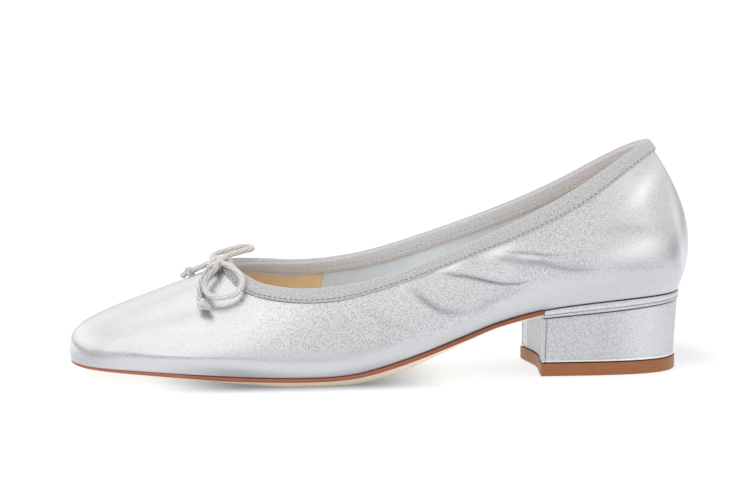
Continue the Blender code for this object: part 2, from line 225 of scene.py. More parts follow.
silver, tree, shader = new_material("silver_foil_leather", {"Metallic": 0.92})
place = add_node(tree, "TexCoord")["Object"]
taut, crease, painted_highlight = (
    add_node(tree, "Attribute", attribute_name=mark)["Fac"] for mark in ("taut", "crease", "painted_highlight")
)
pebbles = add_node(
    tree, "TexVoronoi", {"Vector": place, "Scale": 1 / (PEBBLE_MM * MM), "Smoothness": 0.35},
    feature="SMOOTH_F1",
)["Distance"]
clouds = add_node(tree, "TexNoise", {"Vector": place, "Scale": 1 / (CLOUD_MM * MM), "Detail": 2.0})["Fac"]
tone = add_node(tree, "Mix", {0: clouds, 6: linear("#CFCFD1"), 7: linear("#D9D9DB")}, **TINT)[2]
speckle = add_node(
    tree, "MapRange", {"Value": pebbles, "From Min": 0.15, "From Max": 0.75, "To Min": 1.19, "To Max": 0.73}
)["Result"]
hollows = add_node(tree, "Mix", {0: taut, 2: speckle, 3: TAUT_LEVEL})[0]
grained = add_node(tree, "Mix", {0: 1.0, 6: tone, 7: hollows}, **TIMES)[2]
# Painted highlight: the colour is mixed towards near white where the highlight mark is set.
highlighted = add_node(tree, "Mix", {0: painted_highlight, 6: grained, 7: linear("#FAFAFC")}, **TINT)[2]
# Painted shade: the colour is darkened by the crease mark, in folds, the seam and dull places.
painted_shade_factor = add_node(tree, "MapRange", {"Value": crease, "To Min": 1.0, "To Max": PAINTED_SHADE_LEVEL})["Result"]
shaded = add_node(tree, "Mix", {0: 1.0, 6: highlighted, 7: painted_shade_factor}, **TIMES)[2]
plug(shader, {"Base Color": shaded})
print("silver foil leather: pebbles of", PEBBLE_MM, "mm")

# %% [markdown]
# ## Gloss and grain of the silver
# Where the leather is pulled hard over the last, near the sole, the foil is close to a mirror; elsewhere
# the stretch lines make it satin. The pebbles are bumps, and they flatten where the leather is taut.

# %% Material: silver foil leather, its gloss and grain
STRETCH_MM = 7.0
STRETCH_DEPTH_MM, PEBBLE_DEPTH_MM = 0.2, 0.09
LASTED_FROM, LASTED_FULL, LASTED_GLOSS = 0.74, 0.95, 0.17
TAUT_RELIEF = 0.25

stretch = add_node(
    tree, "TexNoise", {"Vector": place, "Scale": 1 / (STRETCH_MM * MM), "Detail": 5.0, "Roughness": 0.6}
)["Fac"]
gloss = add_node(
    tree, "MapRange", {"Value": stretch, "From Min": 0.3, "From Max": 0.7, "To Min": 0.30, "To Max": 0.38}
)["Result"]
lasted = add_node(
    tree, "MapRange", {"Value": taut, "From Min": LASTED_FROM, "From Max": LASTED_FULL}
)["Result"]
rough = add_node(tree, "Mix", {0: lasted, 2: gloss, 3: LASTED_GLOSS})[0]
soft = add_node(
    tree, "Bump", {"Height": stretch, "Strength": 0.3, "Distance": STRETCH_DEPTH_MM * MM}
)["Normal"]
relief = add_node(tree, "MapRange", {"Value": taut, "To Min": 1.0, "To Max": TAUT_RELIEF})["Result"]
grain = add_node(
    tree, "Bump", {"Height": pebbles, "Normal": soft, "Strength": relief, "Distance": PEBBLE_DEPTH_MM * MM},
    invert=True,
)["Normal"]
plug(shader, {"Roughness": rough, "Normal": grain})
print("silver foil leather: stretch lines of", STRETCH_MM, "mm")

# %% [markdown]
# ## Cotton cord
# The bow is a cotton draw cord: five soft strands laid side by side with a slow twist, the colour of
# oatmeal. Cotton scatters light, so there is no gloss, only a faint fuzz at the rim, which is the sheen.
# The strands are in the mesh, and a mark paints shade into the grooves between them; the material adds the
# short threads across them. Real threads are about 0.3 mm apart and are drawn at 0.6 mm so that they show.

# %% Material: cotton cord
CORD_THREAD_MM, CORD_THREAD_DEPTH_MM = 0.6, 0.12
CORD_THREAD_SLANT, CORD_THREAD_SHADE = math.radians(35), 0.22
LINT_MM = 1.5

cotton, tree, shader = new_material(
    "oatmeal_cotton_cord", {"Roughness": 0.85, "Sheen Weight": 0.25, "Sheen Roughness": 0.5}
)
place = add_node(tree, "TexCoord")
slant = add_node(tree, "Mapping", {"Vector": place["UV"], "Rotation": (0, 0, CORD_THREAD_SLANT)})["Vector"]
threads = add_node(
    tree, "TexWave",
    {
        "Vector": slant, "Scale": WAVE_TURN / CORD_THREAD_MM,
        "Distortion": 1.2, "Detail": 2.0, "Detail Scale": 1.5,
    },
    bands_direction="Y",
)
lint = add_node(
    tree, "TexNoise", {"Vector": place["Object"], "Scale": 1 / (LINT_MM * MM), "Detail": 4.0}
)["Fac"]
yarn = add_node(tree, "Mix", {0: lint, 6: linear("#D9D4CF"), 7: linear("#FAF7F4")}, **TINT)[2]
weave = add_node(tree, "Mix", {0: CORD_THREAD_SHADE, 6: yarn, 7: threads["Color"]}, **TIMES)[2]
groove = add_node(tree, "Attribute", attribute_name="groove")["Fac"]
# Painted shade: the groove mark darkens the colour between the strands.
depth = add_node(
    tree, "MapRange", {"Value": groove, "From Min": 0.35, "From Max": 1.5, "To Min": 1.0, "To Max": 0.54}
)["Result"]
laid = add_node(tree, "Mix", {0: 1.0, 6: weave, 7: depth}, **TIMES)[2]
fuzz = add_node(
    tree, "Bump", {"Height": threads["Fac"], "Strength": 0.5, "Distance": CORD_THREAD_DEPTH_MM * MM}
)["Normal"]
plug(shader, {"Base Color": laid, "Normal": fuzz})
print("cotton cord: threads drawn at", CORD_THREAD_MM, "mm")

# %% [markdown]
# ## Routes of the bow
# The draw cord comes out of the binding at the throat and is tied in a small bow. On each side it makes a
# loop, goes back through the knot and hangs down as a free end with an overhand knot near its tip. Each
# half of the cord is a list of places that it passes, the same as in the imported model.

# %% Bow routes
LATERAL_ROUTE = [
    (59.8, 2.4, 44.9), (60.4, 0.4, 44.8), (60.8, -1.6, 44.8), (62.0, -4.1, 44.6), (64.0, -7.9, 43.8),
    (66.2, -12.1, 42.0), (67.0, -15.9, 39.1), (65.6, -18.1, 36.3), (62.5, -19.0, 34.2), (58.3, -18.5, 33.6),
    (54.4, -16.8, 34.2), (52.5, -13.8, 36.4), (53.2, -9.9, 39.4), (55.6, -7.0, 41.7), (57.8, -4.3, 43.2),
    (58.4, -2.0, 43.7), (58.4, 0.2, 44.2), (57.7, 1.9, 44.6), (56.8, 2.0, 44.2), (56.1, 0.8, 43.4),
    (55.3, -0.6, 42.6), (54.0, -1.9, 41.4), (52.8, -3.7, 40.0), (51.5, -7.1, 37.8), (50.7, -11.1, 35.2),
    (50.2, -14.6, 32.8), (50.7, -17.4, 31.3), (51.9, -19.2, 30.4), (53.3, -20.3, 30.0), (54.3, -20.8, 29.9),
]
MEDIAL_ROUTE = [
    (57.6, 2.8, 44.4), (57.1, 4.1, 45.0), (57.0, 5.5, 45.9), (57.5, 7.0, 46.6), (58.4, 8.6, 47.0),
    (60.5, 11.2, 47.5), (64.5, 15.2, 48.0), (68.7, 19.0, 48.4), (71.8, 21.3, 48.4), (74.1, 21.3, 48.2),
    (74.7, 19.0, 48.0), (72.6, 15.7, 47.8), (68.6, 12.0, 47.4), (65.0, 8.4, 47.0), (62.6, 5.2, 46.7),
    (60.8, 2.0, 46.2), (59.2, -0.6, 45.5), (57.8, -1.4, 44.6), (56.8, -0.4, 43.9), (56.4, 1.6, 43.7),
    (56.1, 3.8, 43.9), (55.2, 5.7, 43.7), (54.1, 7.4, 43.0), (52.9, 9.2, 42.1), (51.3, 11.0, 41.1),
    (49.7, 12.8, 40.2), (48.0, 13.5, 39.5), (46.5, 13.6, 38.5), (45.5, 14.0, 37.3),
]
print("places on the way: outer", len(LATERAL_ROUTE), "inner", len(MEDIAL_ROUTE))

# %% [markdown]
# ## Smooth routes
# A cord has no corners, so a cubic spline runs through the places. Between two places it is a cubic, and
# its bends at all places come from one set of linear equations. It is then stepped evenly by its length,
# so that the rings of the cord are evenly spaced and the length of the cord is known.

# %% Smooth routes
ROUTE_STEP = 0.35
FINE_STEPS = 40


def step_lengths(path):
    """Length of each step of a path: the norm of the difference of neighbouring places."""
    return np.linalg.norm(np.diff(path, axis=0), axis=-1)


def walked(lengths):
    """Distance walked before each step and after the last: 0, then the sums of the lengths so far."""
    return np.concatenate([[0.0], np.cumsum(lengths)])


def on_span(start, end, start_bend, end_bend, s, h):
    """Place at share s of a spline's span of length h, whose second slopes at its ends are the bends.

    It is the straight line between the ends plus h * h / 6 times
    ((1-s)^3 - (1-s)) * start bend + (s^3 - s) * end bend.
    """
    curl = ((1 - s) ** 3 - (1 - s)) * start_bend + (s**3 - s) * end_bend
    return (1 - s) * start + s * end + h * h / 6 * curl


def smooth_route(places):
    """Even steps along a natural cubic spline through the places, and its length.

    Each inner place ties the bends: h0 m0 + 2 (h0 + h1) m1 + h1 m2 = 6 times the change of slope there.
    """
    places = np.asarray(places, float)
    count = len(places)
    chords = step_lengths(places)
    at = walked(chords)
    k = np.arange(1, count - 1)
    ties = np.eye(count)
    ties[k, k - 1], ties[k, k], ties[k, k + 1] = chords[:-1], 2 * (chords[:-1] + chords[1:]), chords[1:]
    turns = np.zeros_like(places)
    turns[1:-1] = 6 * np.diff(np.diff(places, axis=0) / chords[:, None], axis=0)
    bend = np.linalg.solve(ties, turns)
    fine = np.linspace(0.0, at[-1], FINE_STEPS * count)
    i = np.clip(np.searchsorted(at, fine) - 1, 0, count - 2)
    h = chords[i][:, None]
    line = on_span(places[i], places[i + 1], bend[i], bend[i + 1], (fine - at[i])[:, None] / h, h)
    done = walked(step_lengths(line))
    even = np.linspace(0.0, done[-1], round(done[-1] / ROUTE_STEP))
    return np.column_stack([np.interp(even, done, line[:, axis]) for axis in range(3)]), done[-1]


lateral_path, lateral_length = smooth_route(LATERAL_ROUTE)
medial_path, medial_length = smooth_route(MEDIAL_ROUTE)
print("cord lengths in mm: outer", round(lateral_length, 1), "inner", round(medial_length, 1))

# %% [markdown]
# ## Cord as a tube
# A cord is a ring carried along its route. The ring must not spin as it goes, so each ring starts from a
# fixed reference, and the spin between neighbours is measured and taken out as a running sum. Five
# shallow swells round the ring, turned slowly along the cord, are the laid strands. At a cut end the last
# rings shrink to a point, so the tube is closed.

# %% Cord tubes
CORD_RADIUS = 1.1
STRANDS = 5
STRAND_RELIEF = 0.10
STRAND_TURN_MM = 30.0
RING_POINTS = 48
END_ROUND = 0.6
UP = np.array([0.0, 0.0, 1.0])


def ring_axes(path, reference, closed):
    """Two axes across the path at each place: tangent x reference, less the running spin; and their cross."""
    ahead, behind = np.roll(path, -1, axis=0), np.roll(path, 1, axis=0)
    tangent = unit(ahead - behind) if closed else unit(np.gradient(path, axis=0))
    side = unit(np.cross(tangent, reference))
    if not closed:
        turn = np.cross(tangent[:-1], tangent[1:])
        level = (tangent[:-1] * tangent[1:]).sum(axis=1, keepdims=True)
        carried = side[:-1] * level + np.cross(turn, side[:-1])
        carried += turn * (turn * side[:-1]).sum(axis=1, keepdims=True) / (1 + level)
        spin = np.arctan2(
            (np.cross(carried, side[1:]) * tangent[1:]).sum(axis=1), (carried * side[1:]).sum(axis=1)
        )
        back = -walked(spin)[:, None]
        side = np.cos(back) * side + np.sin(back) * np.cross(tangent, side)
    return side, np.cross(tangent, side)


def tube(path, radius, reference=UP, closed=False):
    """Grid, mm round, mm along and marks of a laid cord: ring = place + r * (cos a * side + sin a * other).

    r is the radius times 1 + relief * cos(strands * (a + turn)). A cut end keeps the ring for most of a
    radius, then shrinks it as the square root of what is left.
    """
    side, other = ring_axes(path, reference, closed)
    along = walked(step_lengths(path))
    angle = np.linspace(0.0, 2 * math.pi, RING_POINTS, endpoint=False)
    strand = np.cos(STRANDS * (angle + (2 * math.pi / STRAND_TURN_MM * along)[:, None]))
    swell = radius * (1 + STRAND_RELIEF * strand)
    if not closed:
        from_end = np.minimum(along, along[-1] - along)
        swell = swell * np.sqrt(np.clip(from_end / (END_ROUND * radius), 0.0, 1.0))[:, None]
    ring = np.cos(angle)[None, :, None] * side[:, None] + np.sin(angle)[None, :, None] * other[:, None]
    grid = path[:, None, :] + swell[:, :, None] * ring
    if closed:
        along = np.append(along, along[-1] + np.linalg.norm(path[0] - path[-1]))
    return grid, 2 * math.pi * radius, along, {"groove": (1 - strand) / 2}


print("cord of", STRANDS, "strands,", 2 * CORD_RADIUS, "mm thick")

# %% [markdown]
# ## Overhand knots
# An overhand knot pulled tight is a trefoil: one strand that passes over and under itself three times. The
# tip knots are trefoils round the cord, and the bow's own knot is a larger one that holds both loops. The
# knot's flat side is turned by an axis given for each.

# %% Knots
KNOT_STEPS = 150
KNOT_SIDE = (0.3, 1.0, 0.2)
# piece, node it stands for, centre, axis, width, height, radius of its cord in mm
KNOT_ROWS = [
    ("tip_knot_lateral", "bow_tip_lateral", (51.1, -18.0, 31.0), (0.8, -1.8, -1.0), 1.5, 0.75, 0.85),
    ("tip_knot_medial", "bow_tip_medial", (48.85, 13.2, 39.85), (-1.3, 0.1, -0.6), 1.5, 0.75, 0.85),
    ("bow_knot_wrap", "bow_knot", (58.5, 2.4, 45.5), (-0.5, -0.25, 1.0), 1.6, 0.8, 1.0),
]


def trefoil(centre, axis, width, height):
    """Closed path of a trefoil round a unit axis, by the angle t.

    Across the axis it is (sin t + 2 sin 2t, cos t - 2 cos 2t) * width / 3, and along it -sin 3t * height.
    """
    t = np.linspace(0.0, 2 * math.pi, KNOT_STEPS, endpoint=False)[:, None]
    side = unit(np.cross(axis, KNOT_SIDE))
    path = np.array(centre) + (np.sin(t) + 2 * np.sin(2 * t)) * side * width / 3
    path = path + (np.cos(t) - 2 * np.cos(2 * t)) * np.cross(axis, side) * width / 3
    return path - np.sin(3 * t) * axis * height


knots = {}
for name, node, centre, axis, width, height, radius in KNOT_ROWS:
    axis = unit(np.array(axis))
    path = trefoil(centre, axis, width, height)
    knots[name] = add_surface(name, *tube(path, radius, axis, closed=True), wrap_rows=True, wrap_columns=True)
    dress(knots[name], cotton, "grey_cord", node)

# %% [markdown]
# ## Cords of the bow
# Each half of the cord is one tube along its route. The outer half's second
# leg and its end lie close together in their own shade, so the grooves there are painted darker.

# %% Bow cords
# LEG_SHADE paints more shade into the grooves of the outer half's second leg and end.
LEG_SHADE, LEG_FROM, LEG_FADE = 0.5, 0.4, 0.08

for side, path, length, shade, on_cord in (
    ("lateral", lateral_path, lateral_length, LEG_SHADE, ("tip_knot_lateral", "bow_knot_wrap")),
    ("medial", medial_path, medial_length, 0.0, ("tip_knot_medial",)),
):
    grid, round_mm, along_mm, marks = tube(path, CORD_RADIUS)
    share = np.linspace(0.0, 1.0, len(path))[:, None]
    marks["groove"] += shade * np.clip((share - LEG_FROM) / LEG_FADE, 0.0, 1.0)
    cord = add_surface("bow_cord_" + side, grid, round_mm, along_mm, marks, wrap_columns=True)
    dress(cord, cotton, "grey_cord", "bow_loop_" + side, "bow_end_" + side)

# %% [markdown]
# ## The shape of the upper
# A last, the wooden form a shoe is made on, is known by its sections. Here 22 sections stand round the
# shoe, and each is a curve from the sole edge, called the feather, up to the topline, called the collar.
# It is given by the places of its two ends and by how steeply and how far it starts out from each. The
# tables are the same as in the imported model.

# %% Sections
COLUMNS = (
    "feather_x", "feather_y", "feather_lean", "feather_reach",
    "collar_x", "collar_y", "collar_z", "collar_lean", "collar_reach",
)
STATIONS = np.array([
    (0.5, 7.2, 81.0, 18.3, 64.4, 3.5, 44.6, 21.6, 61.4),  # toe centre
    (2.4, -2.2, 89.0, 17.1, 65.2, -2.6, 43.1, 22.2, 59.4),
    (9.0, -10.4, 91.0, 20.2, 68.2, -9.0, 40.85, 30.8, 48.4),
    (26.0, -19.8, 83.8, 16.6, 73.2, -14.6, 38.4, 36.6, 33.4),
    (54.0, -30.4, 65.6, 14.8, 81.4, -20.0, 36.85, 48.0, 24.0),
    (88.0, -36.7, 62.0, 11.0, 95.0, -25.0, 36.75, 60.0, 15.0),  # outer joint
    (118.0, -34.2, 60.0, 11.0, 117.0, -27.6, 39.85, 72.0, 12.0),
    (150.0, -28.3, 60.0, 12.0, 145.0, -27.0, 48.9, 78.0, 12.0),  # outer waist
    (186.0, -24.9, 62.0, 13.0, 175.0, -24.8, 61.6, 78.0, 16.0),
    (217.0, -25.4, 64.0, 15.0, 203.0, -21.0, 75.7, 72.0, 22.0),
    (238.6, -18.0, 66.0, 17.0, 224.3, -13.2, 88.2, 62.0, 29.0),
    (245.6, 0.0, 66.6, 18.5, 233.0, 0.0, 91.4, 54.6, 32.8),  # heel back
    (238.6, 18.0, 66.0, 17.0, 224.3, 13.2, 86.6, 62.0, 29.0),
    (217.0, 25.0, 64.0, 15.0, 203.0, 20.5, 74.5, 72.0, 22.0),
    (186.0, 24.0, 60.0, 13.0, 175.0, 23.8, 61.85, 80.0, 16.0),
    (150.0, 21.4, 56.0, 13.0, 145.0, 26.0, 51.15, 86.0, 13.0),  # inner waist
    (114.0, 28.5, 58.0, 11.0, 117.0, 27.8, 43.4, 78.0, 12.0),
    (80.0, 36.3, 62.0, 11.0, 93.0, 27.0, 41.4, 62.0, 15.0),  # inner joint
    (50.0, 34.6, 65.6, 15.3, 80.4, 23.2, 42.6, 48.0, 25.0),
    (24.0, 28.6, 83.8, 16.6, 72.4, 18.6, 43.4, 36.6, 35.4),
    (7.5, 22.3, 91.0, 20.2, 67.6, 13.6, 44.1, 30.8, 49.4),
    (1.8, 15.5, 89.0, 17.1, 65.2, 8.8, 44.5, 22.2, 59.4),
])
HALF_ROUND = 11
FEATHER = STATIONS[:, :2]
COLLAR_REACH = STATIONS[:, [COLUMNS.index("collar_reach")]]
# distance from the toe, height of the sole edge
FEATHER_HEIGHT = [
    (0.0, 6.3), (7.0, 5.64), (18.6, 5.31), (30.0, 5.0), (49.0, 4.33), (68.0, 3.83), (87.0, 3.62),
    (96.0, 3.62), (107.0, 4.2), (115.0, 5.5), (127.5, 8.7), (140.0, 12.45), (152.0, 16.6), (168.0, 22.2),
    (186.0, 26.7), (201.0, 28.8), (217.0, 30.35), (230.0, 31.25), (247.0, 32.1),
]
print(len(STATIONS), "sections of", len(COLUMNS), "numbers")

# %% [markdown]
# ## Curves through the tables
# Two kinds of curve join such numbers. Along the shoe, a table of distances and values becomes a cubic that
# never overshoots its rows. Round the shoe, each number of a section runs on a closed spline. There the
# sections are spaced by the length of the sole edge, and each half of the shoe takes half of the way.

# %% Curves through the tables
def table_curve(table, at):
    """Cubic through the rows of a table, each slope the harmonic mean of its neighbours', so no overshoot."""
    x, y = np.array(table).T
    step = np.diff(x)
    slope = np.diff(y) / step
    both = slope[:-1] * slope[1:]
    inner = np.where(both > 0, 2 * both / np.where(both > 0, slope[:-1] + slope[1:], 1), 0)
    ends = np.concatenate([slope[:1], inner, slope[-1:]])
    at = np.clip(at, x[0], x[-1])
    i = np.clip(np.searchsorted(x, at) - 1, 0, len(step) - 1)
    s = (at - x[i]) / step[i]
    rise = y[i] + s * s * (3 - 2 * s) * (y[i + 1] - y[i])
    return rise + step[i] * s * (1 - s) * ((1 - s) * ends[i] - s * ends[i + 1])


chords = np.linalg.norm(np.roll(FEATHER, -1, axis=0) - FEATHER, axis=1)
halves = chords[:HALF_ROUND], chords[HALF_ROUND:]
outer_share, inner_share = (np.cumsum(half) / half.sum() / 2 for half in halves)
SECTION_AT = np.concatenate([[0.0], outer_share, 0.5 + inner_share])
print("sections at", np.round(SECTION_AT, 3))


def closed_spline(rows, at):
    """Cubic spline through the rows as a loop: spans and ties as on a route, the last tied to the first."""
    count = len(rows)
    step = np.diff(SECTION_AT)
    before = np.roll(step, 1)
    rise = (np.roll(rows, -1, axis=0) - rows) / step[:, None]
    k = np.arange(count)
    ties = np.diag(2 * (before + step))
    ties[k, k - 1] += before
    ties[k, (k + 1) % count] += step
    bend = np.linalg.solve(ties, 6 * (rise - np.roll(rise, 1, axis=0)))
    at = np.mod(at, 1.0)
    i = np.clip(np.searchsorted(SECTION_AT, at, side="right") - 1, 0, count - 1)
    j = (i + 1) % count
    s = ((at - SECTION_AT[i]) / step[i])[:, None]
    return on_span(rows[i], rows[j], bend[i], bend[j], s, step[i][:, None])


# %% [markdown]
# ## The wall
# With the sections smooth round the shoe, the whole wall is one function of two parameters: the place
# round the shoe, from 0 at the toe by the outer side to 1, and the share of the way up. Every layer of
# the shoe is this wall moved out or in along its normal, so layers never cut through each other.

# %% The wall as a function of two parameters
LITTLE = 1e-4
HEADING_PULL = 12.0
SEARCH_STEPS, CHECK_ROWS = 400, 40
OUTER_HALF, INNER_HALF = (0.1, 0.45), (0.55, 0.9)


def feather_edge(around, outward=0.0):
    """Plan of the sole edge moved along its outward normal, the tangent turned a quarter; and the normal."""
    ahead = closed_spline(FEATHER, around + LITTLE) - closed_spline(FEATHER, around - LITTLE)
    normal = unit(np.column_stack([ahead[:, 1], -ahead[:, 0]]))
    return closed_spline(FEATHER, around) + np.reshape(outward, (-1, 1)) * normal, normal


def upper_face(around, rise):
    """Wall place, where v is the rise, w = 1 - v, and low and top are the ends of a section.

    It is w^3 low + 3 w^2 v (low + first reach) + 3 w v^2 (top + last reach) + v^3 top.
    """
    rows = dict(zip(COLUMNS, closed_spline(STATIONS, around).T))
    foot, normal = feather_edge(around)
    top = np.column_stack([rows["collar_x"], rows["collar_y"], rows["collar_z"]])
    low = np.column_stack([foot, table_curve(FEATHER_HEIGHT, foot[:, 0])])
    heading = unit(foot - top[:, :2] + HEADING_PULL * normal)
    lean = np.radians(rows["feather_lean"])[:, None]
    droop = np.radians(rows["collar_lean"])[:, None]
    first = np.hstack([np.cos(lean) * normal, np.sin(lean)]) * rows["feather_reach"][:, None]
    last = np.hstack([np.cos(droop) * heading, -np.sin(droop)]) * rows["collar_reach"][:, None]
    v = rise[..., None]
    w = 1 - v
    return w * w * (w * low + 3 * v * (low + first)) + v * v * (3 * w * (top + last) + v * top)


def wall(around, rise, outward):
    """Wall place plus outward times the unit normal, the cross of the ways round and up."""
    rise = np.broadcast_to(rise, (len(rise), len(around)))
    along = upper_face(around + LITTLE, rise) - upper_face(around - LITTLE, rise)
    up = upper_face(around, rise + LITTLE) - upper_face(around, rise - LITTLE)
    return upper_face(around, rise) + np.asarray(outward)[..., None] * unit(np.cross(along, up))


def below_edge(around, distance):
    """Share of the way up at a distance below the topline: 1 - distance / (3 * collar reach)."""
    return 1 - distance / (3 * closed_spline(COLLAR_REACH, around)[:, 0])


def place_at(x, half):
    """Place round the shoe, within one half of it, where the sole edge is at x from the toe."""
    around = np.linspace(*half, SEARCH_STEPS)
    along = feather_edge(around)[0][:, 0]
    order = np.argsort(along)
    return float(np.interp(x, along[order], around[order]))


ROUND = 560
AROUND = np.arange(ROUND) / ROUND
box = wall(AROUND, np.linspace(0.0, 1.0, CHECK_ROWS)[:, None], 0.0).reshape(-1, 3)
print("wall box in mm:", np.round(to_row(box.min(0)) * 1000, 2), np.round(to_row(box.max(0)) * 1000, 2))

# %% [markdown]
# ## Creases of the quarter
# The leather of the quarters is pulled in by the draw cord and not stiffened, so it lies in soft folds,
# while the toe and the heel cup stay smooth. At a fold the leather above hangs a little over the leather
# below: across a line on the wall its height follows tanh(s / crease) * exp(-|s| / reach), where s is the
# distance over the line. Shade is painted dark along each crease. The
# lines are given by distance from the toe and height, and each fold fades in and out along its length.

# %% Folds
# side (-1 outer, 1 inner), step, crease and reach in mm, darkness of its painted shade, line of (x, z)
FOLDS = [
    (-1, 0.55, 1.2, 5.0, 0.58, [
        (130.5, 38.4), (135.7, 34.0), (139.5, 31.0), (143.6, 28.5), (149.6, 27.2), (156.0, 27.1)]),
    (-1, 0.34, 1.8, 5.0, 0.28, [
        (150.0, 27.1), (155.8, 27.3), (159.8, 28.9), (163.9, 30.8), (168.0, 33.1), (177.0, 35.8)]),
    (-1, 0.60, 0.7, 5.0, 0.95, [
        (142.6, 43.6), (149.9, 41.9), (154.0, 41.5), (158.0, 40.6),
        (164.0, 39.1), (168.8, 38.2), (174.0, 38.0), (181.0, 39.2)]),
    (-1, 0.52, 1.3, 5.0, 0.56, [
        (165.0, 49.1), (173.0, 47.3), (178.2, 46.4), (186.1, 45.7),
        (192.1, 44.1), (198.0, 43.3), (204.8, 43.2), (210.5, 44.0)]),
    (-1, 0.24, 0.6, 3.0, 0.5, [(168.0, 51.4), (174.3, 50.4), (180.2, 49.9), (186.1, 49.2), (193.0, 48.8)]),
    (-1, 0.36, 1.6, 6.0, 0.22, [
        (204.0, 43.4), (214.3, 44.0), (220.5, 43.8), (226.7, 43.6),
        (233.4, 43.3), (239.0, 43.9), (246.0, 46.0)]),
    (-1, 0.50, 3.0, 8.0, 0.06, [
        (206.0, 56.4), (210.6, 57.7), (216.8, 59.1), (225.2, 58.9), (231.5, 58.2), (239.0, 56.6)]),
    (-1, 0.30, 2.2, 5.0, 0.08, [(112.0, 30.4), (122.0, 24.0), (132.0, 20.4)]),
    (1, 0.45, 1.2, 5.0, 0.30, [(126.0, 38.0), (138.0, 34.0), (150.0, 31.0)]),
    (1, 0.50, 0.8, 5.0, 0.45, [(142.0, 44.4), (156.0, 42.4), (172.0, 40.0)]),
    (1, 0.50, 1.5, 5.0, 0.20, [(164.0, 49.8), (182.0, 46.6), (204.0, 44.4), (240.0, 43.4)]),
    (1, 0.22, 0.6, 3.0, 0.30, [(162.0, 52.2), (180.0, 50.4), (196.0, 49.4)]),
]
FADE_POWER = 0.6


def bell(distance, half):
    """A soft peak: exp(-(distance / half)^2)."""
    return np.exp(-((distance / half) ** 2))


def folds_at(places):
    """Height and painted shade of all folds at each place.

    Each height is step * tanh(s / crease) * exp(-|s| / reach), each painted shade exp(-(s / crease)^2) times
    its own level, and both fade by sin(pi * share along the line) to a power; heights add, the darkest shows.
    """
    height, dark = np.zeros(places.shape[:-1]), np.zeros(places.shape[:-1])
    spot = places[..., None, (0, 2)]
    for side, step, crease, reach, level, line in FOLDS:
        line = np.array(line)
        start, span = line[:-1], np.diff(line, axis=0)
        length = np.linalg.norm(span, axis=1)
        share = np.clip(((spot - start) * span).sum(axis=-1) / length**2, 0.0, 1.0)
        gap = spot - (start + share[..., None] * span)
        off = np.linalg.norm(gap, axis=-1)
        nearest = off.argmin(axis=-1)[..., None]
        over = (gap * np.column_stack([-span[:, 1], span[:, 0]])).sum(axis=-1)
        gone = walked(length)[:-1] + share * length
        over, off, gone = (np.take_along_axis(values, nearest, -1)[..., 0] for values in (over, off, gone))
        fade = np.sin(math.pi * np.clip(gone / length.sum(), 0.0, 1.0)) ** FADE_POWER
        fade = fade * (places[..., 1] * side > 0)
        height += step * fade * np.tanh(np.sign(over) * off / crease) * np.exp(-off / reach)
        dark = np.maximum(dark, level * fade * bell(off, crease))
    return height, dark


print(len(FOLDS), "folds")

# %% [markdown]
# ## Painted highlights and painted shade
# Some places of the foil get a painted highlight and others painted shade, where its mirrored light is
# brighter or darker. Each such place is an oval on the side of the shoe that fades from its middle; a level
# above zero is a painted highlight, below it painted shade.

# %% Patches
# side (0 both), middle (x, z), half length and half width in mm, slope in degrees, level (painted highlight
# above zero, painted shade below)
PATCHES = [
    (0, (4.0, 15.6), 7.5, 4.4, -4.0, 0.75),
    (0, (0.0, 8.0), 15.0, 3.2, -4.0, -0.3),
    (-1, (60.0, 35.5), 9.0, 6.0, -20.0, 0.12),
    (-1, (148.2, 45.4), 6.5, 1.7, 22.0, 0.75),
    (-1, (168.0, 50.6), 7.0, 2.2, 14.0, 0.8),
    (-1, (180.0, 48.6), 7.0, 1.0, -8.0, 0.4),
    (-1, (131.0, 37.0), 5.0, 3.0, -30.0, 0.3),
    (-1, (166.0, 42.0), 42.0, 13.0, 12.0, 0.12),
    (-1, (228.2, 74.0), 9.0, 3.4, 48.0, 0.66),
    (-1, (222.0, 50.2), 13.0, 3.8, 16.0, 0.46),
    (-1, (240.0, 48.7), 6.5, 3.2, 90.0, -0.32),
    (-1, (227.6, 56.8), 9.0, 2.6, -15.0, -0.1),
    (-1, (243.2, 56.0), 15.0, 2.0, -80.0, 0.55),
    (-1, (222.0, 37.0), 26.0, 4.5, 6.0, -0.1),
    (-1, (99.0, 21.0), 17.0, 7.0, 5.0, -0.12),
    (1, (150.0, 46.0), 6.5, 1.8, 18.0, 0.4),
    (1, (172.0, 51.0), 7.0, 2.0, 10.0, 0.4),
]


def patches_at(places):
    """Painted highlight and painted shade at each place: level * exp(-(along / half length)^2 - (across /
    half width)^2).
    """
    shine, shade = np.zeros(places.shape[:-1]), np.zeros(places.shape[:-1])
    for side, middle, long, wide, slope, level in PATCHES:
        off = places[..., (0, 2)] - middle
        turn = np.array([math.cos(math.radians(slope)), math.sin(math.radians(slope))])
        along, across = off @ turn, off @ np.array([-turn[1], turn[0]])
        spot = level * np.exp(-((along / long) ** 2) - (across / wide) ** 2) * (places[..., 1] * side >= 0)
        shine, shade = np.maximum(shine, spot), np.maximum(shade, -spot)
    return shine, shade


# The places above are painted highlights and painted shade.
print(len(PATCHES), "polished or dull places")

# %% [markdown]
# ## Marks on the upper
# Some marks follow the length of the shoe, and tables by the distance from the toe hold them. Along the
# sole a line of painted shade lies in the seam, with a strip of painted highlight above it. The leather is
# taut at the toe, at the heel cup and low down all round. The widths of the binding are here too, as the
# folds end before it.

# %% Tables along the upper
# distance from the toe, then: width of the binding outside and inside
BINDING_OUTSIDE = [
    (64.0, 4.0), (66.0, 4.7), (71.0, 5.9), (76.0, 6.4), (82.0, 6.1), (104.0, 5.3), (116.0, 4.3), (128.0, 4.0),
    (152.0, 4.4), (176.0, 6.0), (201.0, 6.7), (227.0, 5.2), (240.0, 5.0),
]
BINDING_INSIDE = [(60.0, 5.4), (104.0, 4.8), (140.0, 5.8), (200.0, 6.4), (240.0, 6.6)]
